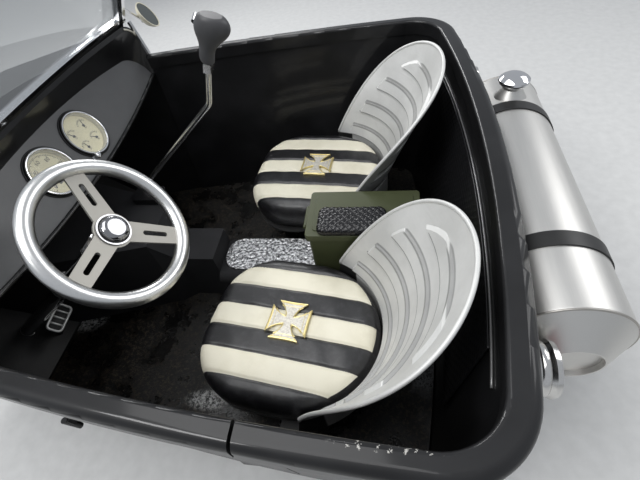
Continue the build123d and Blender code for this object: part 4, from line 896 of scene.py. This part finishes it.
def rear_trim(metal, mat):
    """A bright ledge across the wall behind the seats, over a mat stamped with rows of short bars.

    A bar is the clipped product of one sine across the car and one up it, and every other row is moved by
    half a bar.
    """
    ledge = rear_wall(np.linspace(-LEDGE_HALF, LEDGE_HALF, 60), LEDGE_Z, LEDGE_BAR)
    make_piece("rear_ledge", *tube(ledge, LEDGE_BAR), metal, "body", "black_paint")
    columns, rows = 267, 99
    y, z = np.meshgrid(np.linspace(-CARPET_HALF, CARPET_HALF, columns), np.linspace(*CARPET_Z, rows),
                       indexing="ij")
    across = np.sin(2 * math.pi * y / CARPET_BAR + math.pi * np.floor(z / CARPET_ROW))
    upward = np.sin(2 * math.pi * z / CARPET_ROW - 1.6)
    bar = np.clip(across - 0.35, 0, 0.4) * np.clip(upward + 0.4, 0, 0.5)
    verts = rear_wall(y, z, 0.0035 + 0.007 * bar).reshape(-1, 3)
    corner = (np.arange(columns - 1)[:, None] * rows + np.arange(rows - 1)).ravel()
    faces = np.column_stack([corner, corner + 1, corner + rows + 1, corner + rows])
    piece = make_piece("rear_mat", verts, faces.tolist(), mat, "body", "rubber")
    wall = piece.modifiers.new("wall", "SOLIDIFY")
    wall.thickness = 0.003
    wall.offset = -1.0


def lip_highlight_bead(material):
    """A pale bead painted as the highlight at each end of the cowl's rear edge: straight up from the rail,
    then an arc in.
    """
    turn = np.linspace(0, math.radians(74), 20)[1:]
    out = np.concatenate([np.full(8, LIP_HALF), LIP_HALF - LIP_CORNER * (1 - np.cos(turn))])
    up = np.concatenate([np.linspace(0.001, LIP_STRAIGHT, 8), LIP_STRAIGHT + LIP_CORNER * np.sin(turn)])
    x, z = LIP_X + up * math.sin(LIP_LEAN), LIP_Z + up * math.cos(LIP_LEAN)
    parts = [tube(np.column_stack([x, side * out, z]), LIP_BAR) for side in (-1, 1)]
    make_piece("cowl_highlight_bead", *joined(parts), material, "body", "chrome")


# Gauges

DASH_WAYS = plane_ways((-math.cos(DASH_LEAN), 0.0, math.sin(DASH_LEAN)), (0.0, -1.0, 0.0))


def on_dash(u, v, w):
    """Points of the dash's leaning plane: to the right, up and toward the driver."""
    return in_plane(DASH, DASH_WAYS, u, v, w)


def dial_disc(u, v, radius, low, high, around=64):
    """A thin round plate on the dash: a circle at two heights, closed by two faces."""
    right, up = circle(radius, around)
    verts = np.concatenate([on_dash(u + right, v + up, w) for w in (low, high)])
    return verts, capped_faces(2, around)


def dial_mark(u, v, angle, length, width, w=DIAL_W + MARK_T / 2):
    """A small bar on a dial, pointing along an angle."""
    c, s = math.cos(angle), math.sin(angle)
    right, up, out = DASH_WAYS
    ways = (right * c + up * s, up * c - right * s, out)
    return block(on_dash(u, v, w), ways, (length, width, MARK_T))


def dial_number(text, u, v, size):
    """A plain number on a dial, flat, at half the height of the marks."""
    curve = bpy.data.curves.new("number", "FONT")
    curve.body = text
    curve.size = size
    curve.align_x = "CENTER"
    curve.align_y = "CENTER"
    holder = bpy.data.objects.new("number", curve)
    bpy.context.collection.objects.link(holder)
    bpy.context.view_layer.update()
    seen = holder.evaluated_get(bpy.context.evaluated_depsgraph_get()).to_mesh()
    flat = np.empty(len(seen.vertices) * 3)
    seen.vertices.foreach_get("co", flat)
    flat = flat.reshape(-1, 3)
    faces = [list(face.vertices) for face in seen.polygons]
    bpy.data.objects.remove(holder)
    return on_dash(u + flat[:, 0], v + flat[:, 1], DIAL_W + MARK_T / 2), faces


def dial_marks():
    """Graduations and numbers round the speed dial, and a short scale and a number on each small dial."""
    marks = []
    for k in range(61):
        a = math.radians(225 - 270 * k / 60)
        long = 0.006 if k % 5 == 0 else 0.003
        r = MARK_R - long / 2
        marks.append(dial_mark(SPEED_U + r * math.cos(a), r * math.sin(a), a, long, 0.0011))
    for k in range(7):
        a = math.radians(225 - 45 * k)
        u, v = SPEED_U + NUMBER_R * math.cos(a), NUMBER_R * math.sin(a)
        marks.append(dial_number(str(20 * k), u, v, 0.0125))
    marks.append(dial_mark(SPEED_U, -0.026, 0.0, 0.020, 0.006))
    for k, (du, dv, _) in enumerate(SMALL_DIALS):
        u, v = CLUSTER_U + du, dv - SMALL_PIVOT
        for step in range(9):
            a = math.radians(150 - 120 * step / 8)
            across, up = SMALL_MARK_R * math.cos(a), SMALL_MARK_R * math.sin(a)
            marks.append(dial_mark(u + across, v + up, a, 0.0040, 0.0013))
        marks.append(dial_number(str(10 * (k + 1)), u, dv - 0.0100, 0.0085))
    return marks


def dial_hands():
    """A long hand with its boss on the speed dial, and a short one on each small dial."""
    hands = [dial_mark(SPEED_U - 0.011, -0.011, math.radians(225), 0.044, 0.0022, -0.003),
             dial_disc(SPEED_U, 0.0, 0.0055, DIAL_W, -0.0020, 24)]
    for du, dv, lean in SMALL_DIALS:
        a = math.radians(lean)
        u, v = CLUSTER_U + du, dv - SMALL_PIVOT
        hands.append(dial_mark(u + 0.005 * math.cos(a), v + 0.005 * math.sin(a), a, 0.018, 0.0018, -0.004))
        hands.append(dial_disc(u, v, 0.0032, DIAL_W, -0.0036, 16))
    return hands


def gauges(face, ink, glass, ring):
    """Faces, marks, hands, glasses and dark outer rings of the two large gauges."""
    middles = (SPEED_U, CLUSTER_U)
    faces = [dial_disc(u, 0.0, GAUGE_R - 0.0045, -0.0060, DIAL_W) for u in middles]
    make_piece("dial_faces", *joined(faces), face, "body", "dial_cream", smooth=False)
    make_piece("dial_marks", *joined(dial_marks()), ink, "body", "rubber", smooth=False)
    make_piece("dial_hands", *joined(dial_hands()), ink, "body", "rubber", smooth=False)
    panes = [dial_disc(u, 0.0, 0.0532, 0.0034, 0.0044) for u in middles]
    make_piece("dial_glasses", *joined(panes), glass, "body", "glass", smooth=False)
    right, up = circle(BEZEL_OUTER, 72)
    rings = [tube(on_dash(u + right, up, 0.0018), 0.0018, closed=True, around=8) for u in middles]
    make_piece("gauge_rings", *joined(rings), ring, "body", "rubber")


def weld_rings(material):
    """The weld beads where the tank's cones meet its barrel."""
    x, z = circle(TANK_R - 0.0012, 180)
    beads = []
    for y in (-TANK_HALF, TANK_HALF):
        path = np.column_stack([TANK_X + x, np.full(180, y), TANK_Z + z])
        beads.append(tube(path, 0.0022, closed=True, around=8))
    make_piece("tank_welds", *joined(beads), material, "body", "tank_metal")


def hub_ring(material):
    """The dark groove round the foot of the hub cap."""
    ways = plane_ways((-math.cos(COLUMN_DIP), 0.0, math.sin(COLUMN_DIP)), (0.0, -1.0, 0.0))
    right, up = circle(CAP_R, 60)
    path = in_plane(HUB, ways, right, up, CAP_FOOT)
    make_piece("hub_ring", *tube(path, 0.0011, closed=True, around=8), material, "wheel", "rubber")


def add_pieces():
    """Everything that the scene makes itself: the padded pieces first, then the trim."""
    for side in SIDE:
        cushion(side, cushion_finish(side))
    armrest(pad_finish())
    rolled = plain("rolled_edge", (0.70, 0.70, 0.68), 0.5, 0.3)
    for side in SIDE:
        seat_rim(side, rolled)
    crosses(plain("gold_plate", (0.84, 0.71, 0.34), 0.32, 0.75), silver_field())
    pedal(plain("pedal_metal", (0.62, 0.62, 0.61), 0.35, 0.4),
          plain("pedal_rubber", (0.010, 0.010, 0.010), 0.6))
    rear_trim(plain("ledge_edge", (0.22, 0.22, 0.22), 0.3, 0.6),
              plain("mat_rubber", (0.010, 0.010, 0.011), 0.35))
    # Painted highlight: a pale bead along the ends of the cowl's lip
    lip_highlight_bead(plain("lip_highlight_paint", (0.66, 0.63, 0.54), 0.25, 0.5))
    dark = plain("dial_ink", (0.015, 0.015, 0.015), 0.6)
    gauges(plain("dial_paper", (0.92, 0.85, 0.56), 0.5), dark,
           Finish("dial_glass", (1.0, 1.0, 1.0), 0.02, Alpha=0.12).material,
           plain("black_ring", (0.008, 0.008, 0.008), 0.3))
    weld_rings(plain("weld", (0.45, 0.43, 0.40), 0.4, 1.0))
    hub_ring(dark)


# Ground and light

def area_light(name, place, target, size, power):
    """A rectangular lamp that faces a point."""
    data = bpy.data.lights.new(name, "AREA")
    data.shape = "RECTANGLE"
    data.size, data.size_y = size
    data.energy = power
    lamp = bpy.data.objects.new(name, data)
    lamp.location = place
    lamp.rotation_euler = (Vector(target) - Vector(place)).to_track_quat("-Z", "Y").to_euler()
    bpy.context.collection.objects.link(lamp)


def studio():
    """A pale floor under the lowest point, an even sky and the lamps."""
    mesh = bpy.data.meshes.new("studio_floor")
    mesh.from_pydata([(-9, -9, 0), (9, -9, 0), (9, 9, 0), (-9, 9, 0)], [], [(0, 1, 2, 3)])
    floor = bpy.data.objects.new("studio_floor", mesh)
    floor.location.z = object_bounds()[0].z
    bpy.context.collection.objects.link(floor)
    mesh.materials.append(plain("studio_floor", (0.62, 0.62, 0.61), 0.6))
    world = bpy.context.scene.world or bpy.data.worlds.new("world")
    bpy.context.scene.world = world
    world.use_nodes = True
    sky = world.node_tree.nodes["Background"].inputs
    sky["Color"].default_value = (0.80, 0.84, 0.90, 1.0)
    sky["Strength"].default_value = 0.55
    for lamp in LAMPS:
        area_light(*lamp)


place_camera()
dress_frame()
add_pieces()
studio()
bpy.context.scene.view_settings.view_transform = "Standard"
